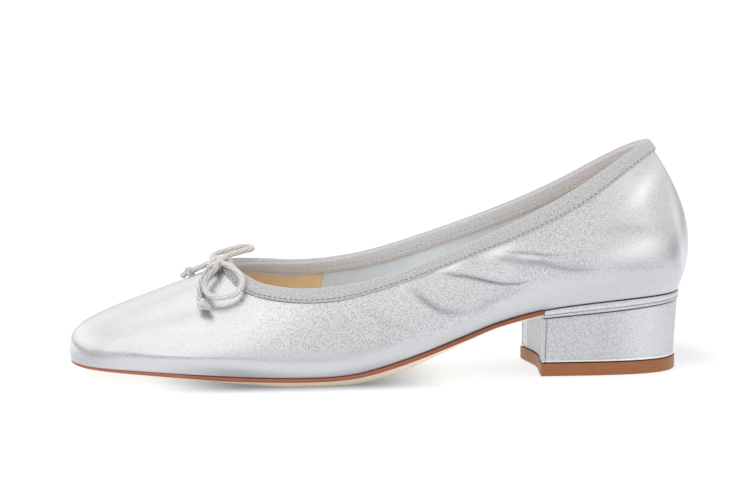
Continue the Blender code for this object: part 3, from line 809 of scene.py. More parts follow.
# distance from the toe, then: tautness over the whole height; height of the taut band; tautness in the band
TAUT_TOE = [
    (0.0, 0.75), (40.0, 0.72), (62.0, 0.54), (74.0, 0.24), (90.0, 0.0), (200.0, 0.0), (214.0, 0.4),
    (250.0, 0.5),
]
TAUT_BELOW = [
    (0.0, 16.0), (60.0, 14.0), (99.0, 13.9), (119.0, 15.6), (131.3, 17.1), (143.6, 19.2), (155.7, 23.4),
    (170.0, 31.0), (190.0, 39.0), (208.0, 42.0), (246.0, 43.5),
]
TAUT_LOW = [(0.0, 0.95), (40.0, 0.95), (92.0, 0.78), (250.0, 0.78)]
TAUT_FADE = 3.0
# distance from the toe, then: painted highlight above the seam; height of the seam's painted shade; its
# darkness
SEAM_HIGHLIGHT = [
    (0.0, 0.0), (40.0, 0.0), (52.0, 0.65), (75.0, 0.7), (112.0, 0.65), (130.0, 0.4), (146.0, 0.0),
    (250.0, 0.0),
]
SEAM_HIGHLIGHT_MM = 2.2
SEAM_SHADE = [
    (0.0, 0.3), (60.0, 0.3), (110.0, 0.35), (135.0, 0.7), (155.0, 1.4), (175.0, 1.1), (186.0, 1.3),
    (192.0, 0.4), (250.0, 0.3),
]
SEAM_DARK = [
    (0.0, 0.1), (15.0, 0.2), (35.0, 0.45), (60.0, 0.65), (140.0, 0.6), (155.0, 0.6), (172.0, 0.9),
    (186.0, 0.75), (192.0, 0.7), (250.0, 0.7),
]
print("taut below", TAUT_BELOW[0][1], "mm at the toe and below", TAUT_BELOW[-1][1], "mm at the heel")

# %% [markdown]
# ## Marks at each place
# The outer face of the wall is sampled once, and every mark is worked out there as one array. Folds fade
# out before the binding, so that it lies flat on the leather. Where two shades meet, the darker one shows.

# %% Marks of the upper leather
OUTSIDE_ROWS = 136
CREASE_CLEAR, CREASE_GROWS = 0.4, 2.6


def eased(share):
    """3 x^2 - 2 x^3 of a share x held between 0 and 1."""
    x = np.clip(share, 0.0, 1.0)
    return x * x * (3 - 2 * x)


topline_x = wall(AROUND, np.ones((1, 1)), 0.0)[0][:, 0]
tape_depth = table_curve(BINDING_OUTSIDE, topline_x)
inside_depth = table_curve(BINDING_INSIDE, topline_x)
outside_rise = np.linspace(0.0, 1.0, OUTSIDE_ROWS)[:, None] * np.ones(ROUND)
face = wall(AROUND, outside_rise, 0.0)
face_x, face_z = face[..., 0], face[..., 2]
from_topline = np.vstack([np.zeros(ROUND), np.cumsum(step_lengths(face[::-1]), axis=0)])[::-1]
from_seam = from_topline[0] - from_topline
free = eased((from_topline - tape_depth - CREASE_CLEAR) / CREASE_GROWS)
fold_height, fold_dark = folds_at(face)
fold_height, fold_dark = fold_height * free, fold_dark * free
shine, shade = patches_at(face)
seam_dark = table_curve(SEAM_DARK, face_x[0])
# Painted shade in the seam along the sole.
in_seam = seam_dark * np.exp(-from_seam / table_curve(SEAM_SHADE, face_x[0]))
# Painted shade: folds, the seam and dull places; the darkest shows.
dark = np.maximum.reduce([fold_dark, in_seam, shade])
# Painted highlight: bright places and the strip above the seam.
shine = np.maximum(shine, table_curve(SEAM_HIGHLIGHT, face_x) * np.exp(-from_seam / SEAM_HIGHLIGHT_MM))
in_band = eased((table_curve(TAUT_BELOW, face_x) - face_z) / TAUT_FADE / 2 + 0.5)
taut = np.maximum(table_curve(TAUT_TOE, face_x), table_curve(TAUT_LOW, face_x) * in_band)
print("folds from", round(fold_height.min(), 2), "to", round(fold_height.max(), 2), "mm")

# %% [markdown]
# ## Upper leather
# The visible skin is 0.85 mm of leather with the folds in its outer face. It is a closed band: up the
# outside from the sole, over the edge under the binding, down the inside, and turned in under the foot
# where it is lasted to the sole.

# %% Upper leather
LEATHER = 0.85
INSIDE_ROWS = 16
TURNED_IN, TURNED_DOWN = 0.8, 0.25
ROUND_MM, SKIN_MM = 560.0, 150.0

turned_plan, _ = feather_edge(AROUND, -TURNED_IN)
turned = np.column_stack([turned_plan, table_curve(FEATHER_HEIGHT, turned_plan[:, 0]) - TURNED_DOWN])
inside_rise = np.linspace(1.0, 0.0, INSIDE_ROWS)[:, None] * np.ones(ROUND)
skin = np.concatenate([
    turned[None], wall(AROUND, outside_rise, fold_height), wall(AROUND, inside_rise, -LEATHER)
])
hidden = np.zeros((INSIDE_ROWS, ROUND))
# crease holds the painted shade, the highlight mark the painted highlights; the turned edge gets the seam's
# painted shade.
skin_marks = {
    "crease": np.concatenate([seam_dark[None], dark, hidden]),
    "taut": np.concatenate([taut[:1], taut, hidden]),
    "painted_highlight": np.concatenate([hidden[:1], shine, hidden]),
}
upper_leather = add_surface(
    "upper_leather", skin, ROUND_MM, SKIN_MM, skin_marks, wrap_rows=True, wrap_columns=True
)
dress(upper_leather, silver, "silver_leather", "upper")

# %% [markdown]
# ## Lining leathers
# Inside, the vamp is lined in tan leather, the quarters in a cool silver-grey one, and the heel in tan
# again, where the foot rubs. Lining leather is dyed through and barely polished: the eye sees an even,
# slightly cloudy tone with fine pores. The grey is paler and bluer in a soft band across each quarter.

# %% Materials: lining leathers
PORE_MM, PORE_DEPTH_MM = 0.8, 0.1
DYE_CLOUD_MM = 9.0
PALE_PATCH_GREY = "#E8F4FF"


def lining_leather(name, dark, light, roughness):
    """Smooth dyed leather: two tones by noise, paler where a mark says so, and pores as a fine bump."""
    made, tree, shader = new_material(name, {"Roughness": roughness})
    place = add_node(tree, "TexCoord")["Object"]
    dye = add_node(
        tree, "TexNoise",
        {"Vector": place, "Scale": 1 / (DYE_CLOUD_MM * MM), "Detail": 5.0, "Roughness": 0.65},
    )["Fac"]
    pores = add_node(tree, "TexVoronoi", {"Vector": place, "Scale": 1 / (PORE_MM * MM)})["Distance"]
    dyed = add_node(tree, "Mix", {0: dye, 6: linear(dark), 7: linear(light)}, **TINT)[2]
    pale_patch = add_node(tree, "Attribute", attribute_name="pale_patch")["Fac"]
    pale_patched = add_node(tree, "Mix", {0: pale_patch, 6: dyed, 7: linear(PALE_PATCH_GREY)}, **TINT)[2]
    dimples = add_node(
        tree, "Bump", {"Height": pores, "Strength": 0.25, "Distance": PORE_DEPTH_MM * MM}
    )["Normal"]
    plug(shader, {"Base Color": pale_patched, "Normal": dimples})
    return made


tan_leather = lining_leather("tan_lining_leather", "#F3D0A2", "#FDE2BB", 0.5)
grey_leather = lining_leather("silver_grey_lining_leather", "#D3DDE8", "#E8F3FE", 0.42)
sock_tan = lining_leather("natural_sock_leather", "#E0CCAF", "#EEDFC6", 0.55)
print("lining leathers: pores of", PORE_MM, "mm")

# %% [markdown]
# ## Linings
# Each lining is a thin closed sheet against the leather, from the sole to just under the topline. Its
# thickness runs out to nothing at both ends, which closes it, and the quarters lie a little proud of the
# tan.

# %% Linings
LINING_ROWS = 36
LINING_TOP = 2.0
LINING_OUTER = -0.88
TAN_INNER, GREY_INNER = -1.45, -1.6
LINING_END = 2e-4
LINING_MM = 120.0
VAMP_END, HEEL_START = 99.0, 212.0
PALE_PATCH_X, PALE_PATCH_HALF = 149.0, 12.0


def lining_panel(first, last, inner, steps):
    """Closed sheet between two places round the shoe: a face at the outer and one at the inner distance.

    Both faces are at their mean plus or minus half their distance, which is zero at the two ends.
    """
    around = np.linspace(first, last, steps)
    around = np.sort(np.concatenate([around, [first + LINING_END, last - LINING_END]]))
    rise = np.linspace(0.0, 1.0, LINING_ROWS)[:, None] * below_edge(around, LINING_TOP)
    taper = np.minimum(np.arange(len(around)), np.arange(len(around))[::-1]).clip(0, 1)
    middle, half = (inner + LINING_OUTER) / 2, (LINING_OUTER - inner) / 2
    outer_face = wall(around, rise, middle + half * taper)
    inner_face = wall(around, rise[::-1], middle - half * taper)
    grid = np.concatenate([outer_face, inner_face])
    # A soft band across each grey quarter, paler and bluer.
    pale_patch = bell(grid[..., 0] - PALE_PATCH_X, PALE_PATCH_HALF) * (inner == GREY_INNER)
    return grid, walked(step_lengths(outer_face[0])), LINING_MM, {"pale_patch": pale_patch}


vamp_out, heel_out = place_at(VAMP_END, OUTER_HALF), place_at(HEEL_START, OUTER_HALF)
vamp_in, heel_in = place_at(VAMP_END, INNER_HALF), place_at(HEEL_START, INNER_HALF)
for name, first, last, inner, steps, made, slot in (
    ("lining_vamp", vamp_in, 1 + vamp_out, TAN_INNER, 220, tan_leather, "tan_leather"),
    ("lining_quarter_lateral", vamp_out, heel_out, GREY_INNER, 100, grey_leather, "silver_leather"),
    ("lining_heel", heel_out, heel_in, TAN_INNER, 120, tan_leather, "tan_leather"),
    ("lining_quarter_medial", heel_in, vamp_in, GREY_INNER, 100, grey_leather, "silver_leather"),
):
    dress(add_surface(name, *lining_panel(first, last, inner, steps), wrap_rows=True), made, slot)

# %% [markdown]
# ## Twill tape
# The topline is bound with a woven tape. Twill has fine slanted ribs, uneven yarn and no gloss. Its face is
# a mid grey. The side turned in against the foot is painted paler and cooler, against the shade and the
# warm light inside the shoe, and a mark tells it apart. Real ribs are about 0.4 mm apart and are drawn at
# 0.8 mm so that they show.

# %% Material: twill tape
RIB_MM, RIB_DEPTH_MM = 0.8, 0.12
RIB_SLANT, RIB_SHADE = math.radians(82), 0.17
YARNS_PER_MM = 1.3

twill, tree, shader = new_material(
    "grey_twill_tape", {"Roughness": 0.8, "Sheen Weight": 0.2, "Sheen Roughness": 0.5}
)
place = add_node(tree, "TexCoord")["UV"]
slant = add_node(tree, "Mapping", {"Vector": place, "Rotation": (0, 0, RIB_SLANT)})["Vector"]
ribs = add_node(
    tree, "TexWave",
    {"Vector": slant, "Scale": WAVE_TURN / RIB_MM, "Distortion": 0.6, "Detail": 1.0, "Detail Scale": 2.0},
)
yarn = add_node(
    tree, "TexNoise", {"Vector": place, "Scale": YARNS_PER_MM, "Detail": 5.0, "Roughness": 0.75}
)["Fac"]
uneven = add_node(tree, "MapRange", {"Value": yarn, "From Min": 0.3, "From Max": 0.7})["Result"]
outer_tone = add_node(tree, "Mix", {0: uneven, 6: linear("#939191"), 7: linear("#E6E5E4")}, **TINT)[2]
# Painted light: the inner side is paler and cooler than the face to offset the shade inside the shoe.
brightened_inner_tone = add_node(tree, "Mix", {0: uneven, 6: linear("#C6C8D0"), 7: linear("#F6F8FE")}, **TINT)[2]
turned_in = add_node(tree, "Attribute", attribute_name="inside")["Fac"]
tone = add_node(tree, "Mix", {0: turned_in, 6: outer_tone, 7: brightened_inner_tone}, **TINT)[2]
weave = add_node(tree, "Mix", {0: RIB_SHADE, 6: tone, 7: ribs["Color"]}, **TIMES)[2]
raised = add_node(
    tree, "Bump", {"Height": ribs["Fac"], "Strength": 0.45, "Distance": RIB_DEPTH_MM * MM}
)["Normal"]
plug(shader, {"Base Color": weave, "Normal": raised})
print("twill tape: ribs drawn at", RIB_MM, "mm")

# %% [markdown]
# ## Binding
# The tape is folded over the edge and holds the draw cord. It is a profile, given as a distance below the
# edge and a distance out from the wall, carried once round the topline. It swells a little where the cord
# runs inside it, and it thins out at its lower edge, where it lies on the leather.

# %% Binding
TAPE_IN, TAPE_OUT = 0.3, 1.0
INNER_IN, INNER_OUT = -1.9, -2.6
EDGE_ROUND = 0.22
EDGE_THIN, EDGE_RISE = 0.42, 0.5
TAPE_SWELL, INNER_SWELL = 0.22, 0.1
FOLD_FROM, FOLD_OVER = 0.3, 1.3
INSIDE_FROM, INSIDE_FADE = -1.7, 0.7
TOPLINE_ROW = 5
ARC_STEPS, FLANK_STEPS = 13, 9
UNDERSIDE_MM = 4.0

arc = np.linspace(0.0, math.pi, ARC_STEPS)[1:-1, None]
flank = np.linspace(0.0, 1.0, FLANK_STEPS)[:, None]
bulge = np.sin(math.pi * flank)
outer_down = tape_depth - EDGE_ROUND - flank * (tape_depth - EDGE_ROUND - FOLD_FROM)
outer_out = TAPE_OUT + TAPE_SWELL * bulge - EDGE_THIN * np.exp(-flank * tape_depth / EDGE_RISE)
fold_down = FOLD_FROM - FOLD_OVER * np.sin(arc)
fold_out = (TAPE_OUT + INNER_OUT) / 2 + (TAPE_OUT - INNER_OUT) / 2 * np.cos(arc)
inner_down = FOLD_FROM + flank * (inside_depth - EDGE_ROUND - FOLD_FROM)
under_edge = np.full((1, ROUND), -TAPE_IN)
profile = [
    (tape_depth[None], TAPE_IN), (tape_depth[None], TAPE_OUT - EDGE_THIN - EDGE_ROUND),
    (outer_down, outer_out), (fold_down, fold_out), (inner_down, INNER_OUT - INNER_SWELL * bulge),
    (inside_depth[None], INNER_OUT + EDGE_ROUND), (inside_depth[None], INNER_IN),
    (under_edge, INNER_IN), (under_edge, TAPE_IN),
]
down = np.vstack([np.broadcast_to(d, (len(d), ROUND)) for d, _ in profile])
out = np.vstack([np.broadcast_to(o, (len(d), ROUND)) for d, o in profile])
tape = wall(AROUND, below_edge(AROUND, down), out)
topline_mm = walked(step_lengths(np.vstack([tape[TOPLINE_ROW], tape[TOPLINE_ROW, :1]])))
across_mm = walked(step_lengths(tape).mean(axis=1))
binding = add_surface(
    "binding_tape", tape, topline_mm, np.append(across_mm, across_mm[-1] + UNDERSIDE_MM),
    {"inside": np.clip((INSIDE_FROM - out) / INSIDE_FADE, 0.0, 1.0)}, wrap_rows=True, wrap_columns=True,
)
dress(binding, twill, "grey_binding", "topline_binding")
print("topline", round(topline_mm[-1]), "mm round")

# %% [markdown]
# ## Stay tape
# Under the binding's inner edge a strip of grey leather, which keeps the topline from stretching, shows as
# a thin cool line round the vamp. It is a flat band, again a small profile carried round the topline.

# %% Stay tape
# distance from the toe, how far the strip shows below the binding
STAY_SHOWS = [(60.0, 1.9), (88.0, 1.7), (97.0, 1.1), (105.0, 0.2), (112.0, -0.4), (240.0, -0.4)]
STAY_OVERLAP, STAY_EDGE, STAY_MM = 1.0, 0.1, 3.0
STAY_OUT = [(-1.62,), (-1.62,), (-1.75,), (-1.88,), (-1.88,)]

stay_low = inside_depth + table_curve(STAY_SHOWS, topline_x)
stay_high = inside_depth - STAY_OVERLAP
stay_down = np.array([stay_high, stay_low - STAY_EDGE, stay_low, stay_low - STAY_EDGE, stay_high])
stay = wall(AROUND, below_edge(AROUND, stay_down), np.array(STAY_OUT) * np.ones(ROUND))
stay_tape = add_surface("stay_tape", stay, topline_mm, STAY_MM, wrap_rows=True, wrap_columns=True)
dress(stay_tape, grey_leather, "grey_binding")

# %% [markdown]
# ## Thread
# The binding is sewn with spun polyester: a grey needle thread that shows outside and a paler bobbin thread
# inside. Its two plies catch the light unevenly, which fine noise draws as tone and bump.

# %% Materials: polyester thread
PLY_MM, PLY_DEPTH_MM = 0.5, 0.05


def polyester_thread(name, dark, light):
    """Spun thread: two tones by fine noise, which also raises the plies."""
    made, tree, shader = new_material(name, {"Roughness": 0.6})
    place = add_node(tree, "TexCoord")["Object"]
    twist = add_node(tree, "TexNoise", {"Vector": place, "Scale": 1 / (PLY_MM * MM), "Detail": 2.0})["Fac"]
    tone = add_node(tree, "Mix", {0: twist, 6: linear(dark), 7: linear(light)}, **TINT)[2]
    plies = add_node(
        tree, "Bump", {"Height": twist, "Strength": 0.3, "Distance": PLY_DEPTH_MM * MM}
    )["Normal"]
    plug(shader, {"Base Color": tone, "Normal": plies})
    return made


needle_thread = polyester_thread("grey_needle_thread", "#716D6A", "#8C8885")
bobbin_thread = polyester_thread("pale_bobbin_thread", "#B2ADAB", "#C8C3C1")
print("polyester thread: plies of", PLY_MM, "mm")

# %% [markdown]
# ## Stitches
# One row of lockstitch holds the tape on the outside, just above its lower edge, and two rows show on the
# inside. A stitch is a small rounded bar. Its shape is made once as a grid and placed with one array: the
# way along the row, the way out of the tape and their cross are its three axes.

# %% Stitch rows
STITCH_PITCH, STITCH_LENGTH, STITCH_RADIUS = 2.1, 1.3, 0.18
BAR_SHARES = np.array([-1.0, -0.85, -0.4, 0.4, 0.85, 1.0])[:, None, None]
BAR_ANGLES = np.linspace(0.0, 2 * math.pi, 8, endpoint=False)[None, :, None]
NORMAL_STEP = 0.1
# piece, distance below the topline, distance out from the wall, thread
STITCH_ROWS = [
    ("stitches_outside", tape_depth - 0.95, TAPE_OUT + 0.05, needle_thread),
    ("stitches_inside_low", inside_depth - 1.1, INNER_OUT - 0.02, bobbin_thread),
    ("stitches_inside_high", inside_depth - 2.7, INNER_OUT - 0.06, bobbin_thread),
]


def stitch_row(depth, out):
    """One bar per pitch, as a stack of grids, by the share t along it and the angle a round it.

    Place is centre + length / 2 * t * along + r * sqrt(1 - t^4) * (cos a * across + sin a * outward).
    """
    count = round(topline_mm[-1] / STITCH_PITCH)
    closed = np.append(AROUND, 1.0)
    around = np.interp(np.arange(count) * topline_mm[-1] / count, topline_mm, closed)
    rise = below_edge(around, np.interp(around, closed, np.append(depth, depth[0])))[None]
    centre = wall(around, rise, out)[0]
    along = unit(wall(around + LITTLE, rise, out)[0] - wall(around - LITTLE, rise, out)[0])
    outward = unit(wall(around, rise, out + NORMAL_STEP)[0] - centre)
    centre, along, outward = (values[:, None, None] for values in (centre, along, outward))
    round_bar = np.cos(BAR_ANGLES) * np.cross(along, outward) + np.sin(BAR_ANGLES) * outward
    thick = STITCH_RADIUS * np.sqrt(1 - BAR_SHARES**4)
    return centre + STITCH_LENGTH / 2 * BAR_SHARES * along + thick * round_bar


for name, depth, out, thread in STITCH_ROWS:
    bars = stitch_row(depth, out)
    row = add_surface(name, bars, 2 * math.pi * STITCH_RADIUS, STITCH_LENGTH, wrap_columns=True)
    dress(row, thread, "grey_binding")
    print(len(bars), "stitches")

# %% [markdown]
# ## Insole
# The sock is a sheet of tan leather on the shoe's floor. Its top reaches out to the lining, and the board
# under it is narrower. The top is drawn from the outline to the line midway between the two sides, ring by
# ring, so that the last ring closes on that line. Its edge is rounded and it dips a little in the middle,
# as a foot presses it.

# %% Insole
BOARD_INSET = 2.5
INSOLE_THICKNESS = 2.0
SOCK_DIP = 0.5
SOCK_MM = 60.0
# distance from the toe, how far the sock's outline is inside the sole edge
SOCK_INSET = [(0.0, 1.9), (12.0, 1.8), (26.0, 1.5), (54.0, 1.0), (118.0, 0.95), (190.0, 1.0), (247.0, 1.0)]
TOP_SHARES = np.array([0.0, 0.012, 0.03, 0.08, 0.2, 0.35, 0.5, 0.65, 0.8, 0.92, 1.0])
EDGE_DROP = np.array([0.55, 0.15] + [0.0] * (len(TOP_SHARES) - 2))
UNDER_SHARES = np.array([1.0, 0.6, 0.25, 0.0])


def inward(outline, shares):
    """Rings from a loop to its midline: outline + share * (mean of each point and its partner - outline)."""
    partner = np.roll(outline[::-1], 1, axis=0)
    middle = (outline + partner) / 2
    return outline + np.asarray(shares)[:, None, None] * (middle - outline)


edge_from_toe = feather_edge(AROUND)[0][:, 0]
sock_outline, _ = feather_edge(AROUND, -table_curve(SOCK_INSET, edge_from_toe))
board_outline, _ = feather_edge(AROUND, -BOARD_INSET)
top_plan = inward(sock_outline, TOP_SHARES)
pressed = (EDGE_DROP + SOCK_DIP * TOP_SHARES * (2 - TOP_SHARES))[:, None]
top = np.dstack([top_plan, table_curve(FEATHER_HEIGHT, top_plan[..., 0]) + INSOLE_THICKNESS - pressed])
under_plan = inward(board_outline, UNDER_SHARES)
under = np.dstack([under_plan, table_curve(FEATHER_HEIGHT, under_plan[..., 0])])
sock = add_surface("insole_sock", np.concatenate([under, top]), ROUND_MM, SOCK_MM, wrap_columns=True)
dress(sock, sock_tan, "tan_leather", "insole")

# %% [markdown]
# ## Sole leather
# A sole is cut from firm vegetable-tanned leather. Its cut edge is inked reddish brown and polished, and
# the rest is left natural, a pale, fibrous cream. One mark says where the ink is, and another paints shade
# into the gap in the seam and on the edge in the shade of the arch.

# %% Material: inked sole leather
FIBRE_MM, FIBRE_DEPTH_MM = 2.5, 0.15
# darkness of the painted shade where the gap mark is full
GAP_LEVEL = 0.3

sole_leather, tree, shader = new_material("inked_sole_leather", {})
place = add_node(tree, "TexCoord")["Object"]
ink, gap = (add_node(tree, "Attribute", attribute_name=mark)["Fac"] for mark in ("ink", "gap"))
fibres = add_node(
    tree, "TexNoise", {"Vector": place, "Scale": 1 / (FIBRE_MM * MM), "Detail": 6.0, "Roughness": 0.7}
)["Fac"]
natural = add_node(tree, "Mix", {0: fibres, 6: linear("#E6D2B6"), 7: linear("#FCF0DE")}, **TINT)[2]
inked = add_node(tree, "Mix", {0: fibres, 6: linear("#8F4B36"), 7: linear("#B96C50")}, **TINT)[2]
colour = add_node(tree, "Mix", {0: ink, 6: natural, 7: inked}, **TINT)[2]
# Painted shade: the colour is darkened by the gap mark.
deep = add_node(tree, "MapRange", {"Value": gap, "To Min": 1.0, "To Max": GAP_LEVEL})["Result"]
seam_shaded = add_node(tree, "Mix", {0: 1.0, 6: colour, 7: deep}, **TIMES)[2]
polish = add_node(tree, "MapRange", {"Value": ink, "To Min": 0.62, "To Max": 0.38})["Result"]
rough = add_node(tree, "Bump", {"Height": fibres, "Strength": 0.3, "Distance": FIBRE_DEPTH_MM * MM})["Normal"]
plug(shader, {"Base Color": seam_shaded, "Roughness": polish, "Normal": rough})
print("sole leather: fibres of", FIBRE_MM, "mm")

# %% [markdown]
# ## Outline of the sole
# The sole is cut a little proud of the upper, from the toe to the front of the heel, called the breast. Its
# outline is a loop: down the outer side, across the breast and up the inner side. Its top follows the
# feather, its underside is flat under the ball of the foot and rises in the arch.

# %% Sole outline and heights
BREAST_X = 186.5
SOLE_GAP, SOLE_SEAT = 0.3, 0.12
SIDE_STEPS, BACK_STEPS = 240, 20
# distance from the toe, then: height of the underside; height of the inked band; margin past the feather
SOLE_UNDERSIDE = [
    (0.0, 5.0), (7.0, 4.2), (18.6, 3.65), (30.0, 3.15), (49.0, 2.35), (68.0, 1.1), (85.0, 0.0), (107.0, 0.0),
    (112.0, 0.6), (120.0, 2.1), (128.0, 4.1), (140.0, 8.9), (148.0, 12.2), (156.0, 15.6), (168.0, 20.1),
    (188.0, 24.8),
]
SOLE_BAND = [
    (0.0, 1.7), (30.0, 1.85), (45.0, 1.65), (70.0, 1.45), (105.0, 1.45), (130.0, 1.75), (150.0, 1.65),
    (170.0, 1.8), (190.0, 1.8),
]
BAND_MOST = 0.75
SOLE_MARGIN = [(0.0, -0.2), (12.0, 0.1), (60.0, 0.6), (190.0, 0.6)]

side_out = np.linspace(0.0, place_at(BREAST_X - SOLE_GAP, OUTER_HALF), SIDE_STEPS)
side_in = np.linspace(1.0, place_at(BREAST_X - SOLE_GAP, INNER_HALF), SIDE_STEPS)


def sole_side(around, extra):
    """One side's outline: the sole edge moved out by its margin there, plus an extra."""
    margin = table_curve(SOLE_MARGIN, feather_edge(around)[0][:, 0])
    return feather_edge(around, margin + extra)[0]


def sole_outline(extra):
    """Loop down the outer side, across the breast and up the inner side; partners mirror by index."""
    outer, inner = sole_side(side_out, extra), sole_side(side_in, extra)
    share = np.linspace(0.0, 1.0, 2 * BACK_STEPS + 1)[1:-1, None]
    across = outer[-1] + share * (inner[-1] - outer[-1])
    return np.vstack([outer, across, inner[:0:-1]])


def sole_heights(x):
    """Top, underside and height of the inked band, which is at most a share of the thickness."""
    top, low = table_curve(FEATHER_HEIGHT, x) - SOLE_SEAT, table_curve(SOLE_UNDERSIDE, x)
    return top, low, np.minimum(table_curve(SOLE_BAND, x), BAND_MOST * (top - low))


edge_x = sole_side(side_out, 0.0)[:, 0]
edge_top, edge_low, edge_band = sole_heights(edge_x)
thick = edge_top - edge_low
print("sole from", round(thick.min(), 2), "to", round(thick.max(), 2), "mm thick")

# %% [markdown]
# ## Outsole
# The edge of the sole is a profile of rings: in under the upper, round the inked band, then down the bevel
# to the underside. Each ring is the outline moved in, at a height between top and underside. The rings at
# the ends are drawn in to the midline, which closes the sole above and below.

# %% Outsole
BEVEL_SHARE, BEVEL_LEAST = 0.6, 0.3
CAP_STEPS = [1.0, 0.75, 0.5, 0.25, 0.08]
SOLE_LONG_MM, SOLE_ACROSS_MM = 450.0, 80.0
# distance from the toe, darkness of the seam's painted shade; then the darkness of the painted shade
# on the edge in the arch, from where and over how far
SOLE_SEAM_SHADE = [(0.0, 0.1), (15.0, 0.2), (35.0, 0.4), (60.0, 0.6), (110.0, 0.5), (150.0, 0.4), (190.0, 0.4)]
EDGE_DARK, EDGE_FROM, EDGE_GROWS = 0.38, 110.0, 40.0
# each ring: mm in, share of the bevel in, shares of band and bevel down, ink, painted shade of the seam
SOLE_RINGS = [
    (0.9, 0.0, 0.0, 0.0, 1.0, 1.0), (0.3, 0.0, 0.0, 0.0, 1.0, 1.0), (0.12, 0.0, 0.05, 0.0, 1.0, 0.6),
    (0.0, 0.0, 0.16, 0.0, 1.0, 0.0), (-0.04, 0.0, 0.5, 0.0, 1.0, 0.0), (0.0, 0.0, 0.9, 0.0, 1.0, 0.0),
    (0.07, 0.0, 1.0, 0.0, 1.0, 0.0), (0.1, 0.02, 1.0, 0.04, 0.0, 0.0), (0.05, 0.35, 1.0, 0.42, 0.0, 0.0),
    (0.05, 0.75, 1.0, 0.82, 0.0, 0.0), (0.1, 1.0, 1.0, 0.98, 0.0, 0.0), (0.7, 1.0, 1.0, 1.0, 0.0, 0.0),
]

bevel = BEVEL_SHARE * (edge_top - edge_band - edge_low) + BEVEL_LEAST
rings, inks, seams = [], [], []
for inset, bevel_share, band_share, drop_share, ink_share, seam_share in SOLE_RINGS:
    plan = sole_outline(-inset - bevel_share * bevel)
    top_z, low_z, band = sole_heights(plan[:, 0])
    rings.append(np.column_stack([plan, top_z - band_share * band - drop_share * (top_z - band - low_z)]))
    inks.append(np.full(len(plan), ink_share))
    # Painted shade: the inked edge darkens in the arch, and the seam's gap by its share.
    in_arch = EDGE_DARK * np.clip((plan[:, 0] - EDGE_FROM) / EDGE_GROWS, 0.0, 1.0) * ink_share
    seams.append(np.maximum(seam_share * table_curve(SOLE_SEAM_SHADE, plan[:, 0]), in_arch))
cap = inward(rings[0][:, :2], CAP_STEPS)
cap = np.dstack([cap, sole_heights(cap[..., 0])[0]])
base = inward(rings[-1][:, :2], CAP_STEPS[::-1])
base = np.dstack([base, sole_heights(base[..., 0])[1]])
sole_marks = {
    mark: np.concatenate([np.ones(cap.shape[:2]), np.array(levels), np.zeros(base.shape[:2])])
    for mark, levels in (("ink", inks), ("gap", seams))
}
sole = np.concatenate([cap, np.array(rings), base])
outsole = add_surface("outsole_leather", sole, SOLE_LONG_MM, SOLE_ACROSS_MM, sole_marks, wrap_columns=True)
dress(outsole, sole_leather, "sole_leather", "outsole")

# %% [markdown]
# ## Heel
# The heel is a block covered in the upper's leather, with a hollow front, called the breast. Between block
# and upper runs a rand, and under it all is the top piece that wears. Each is a plan loop round the heel,
# moved out or in by a profile that depends on the height. A moving average along the loop rounds the
# corners of the breast, as leather over an edge is never sharp.

# %% Heel loops
BREAST_HOLLOW = 2.2
BREAST_BLEND = 4.0
HEEL_STEPS, BREAST_STEPS = 420, 150
LOOP_STEP, CORNER_FALL = 0.4, 2.0

heel_first, heel_last = place_at(BREAST_X, OUTER_HALF), place_at(BREAST_X, INNER_HALF)


def heel_loop(outward, forward, corner_mm):
    """Loop round the heel: the sole edge moved out, then the breast line, hollowed by sin^2(pi * share).

    Its corners are rounded by averaging each point with its neighbours within about corner_mm.
    """
    back = feather_edge(np.linspace(heel_first, heel_last, HEEL_STEPS), outward)[0]
    share = np.linspace(0.0, 1.0, BREAST_STEPS + 2)[1:-1]
    breast = back[-1] + share[:, None] * (back[0] - back[-1])
    breast[:, 0] += BREAST_HOLLOW * np.sin(math.pi * share) ** 2
    near_breast = np.clip(1 - (back[:, 0] - back[[0, -1], 0].max()) / BREAST_BLEND, 0.0, 1.0)
    back = back - np.column_stack([forward * near_breast, np.zeros(HEEL_STEPS)])
    loop = np.vstack([back, breast - (forward, 0.0)])
    reach = max(1, round(corner_mm / LOOP_STEP))
    shifts = np.arange(-reach, reach + 1)
    weights = np.exp(-CORNER_FALL * (shifts / reach) ** 2)
    return sum(w * np.roll(loop, k, axis=0) for k, w in zip(shifts, weights / weights.sum()))


print("heel loop of", HEEL_STEPS + BREAST_STEPS, "places")

# %% [markdown]
# ## Stacks of loops
# Each piece of the heel is a stack of these loops. The back leans in a little towards the floor, and the
# rand sits on the block along a slanted plane. A stack is open at its two ends, so each end loop is drawn in
# to its middle in a few steps, which closes it, and the marks of that loop go on over the cap.

# %% Rake, seat and caps
HEEL_BACK_X = 245.6
HEEL_BACK_RAKE, RAKE_LENGTH = 0.3, 60.0
SEAT_FRONT_Z, SEAT_BACK_Z = 23.5, 28.6
CAP_SHARES = np.array([1.0, 0.7, 0.4, 0.15])
CAP_ROWS = len(CAP_SHARES)


def raked(loop, share):
    """The loop drawn in towards the breast by the rake, most at the back, times the share of the way down."""
    pull = HEEL_BACK_RAKE * np.clip((loop[:, 0] - BREAST_X) / RAKE_LENGTH, 0.0, 1.0)
    return loop - np.column_stack([share * pull, np.zeros(len(loop))])


def heel_seat(x):
    """Height of the slanted plane where the rand sits on the block: a straight line from breast to back."""
    return SEAT_FRONT_Z + (x - BREAST_X) / (HEEL_BACK_X - BREAST_X) * (SEAT_BACK_Z - SEAT_FRONT_Z)


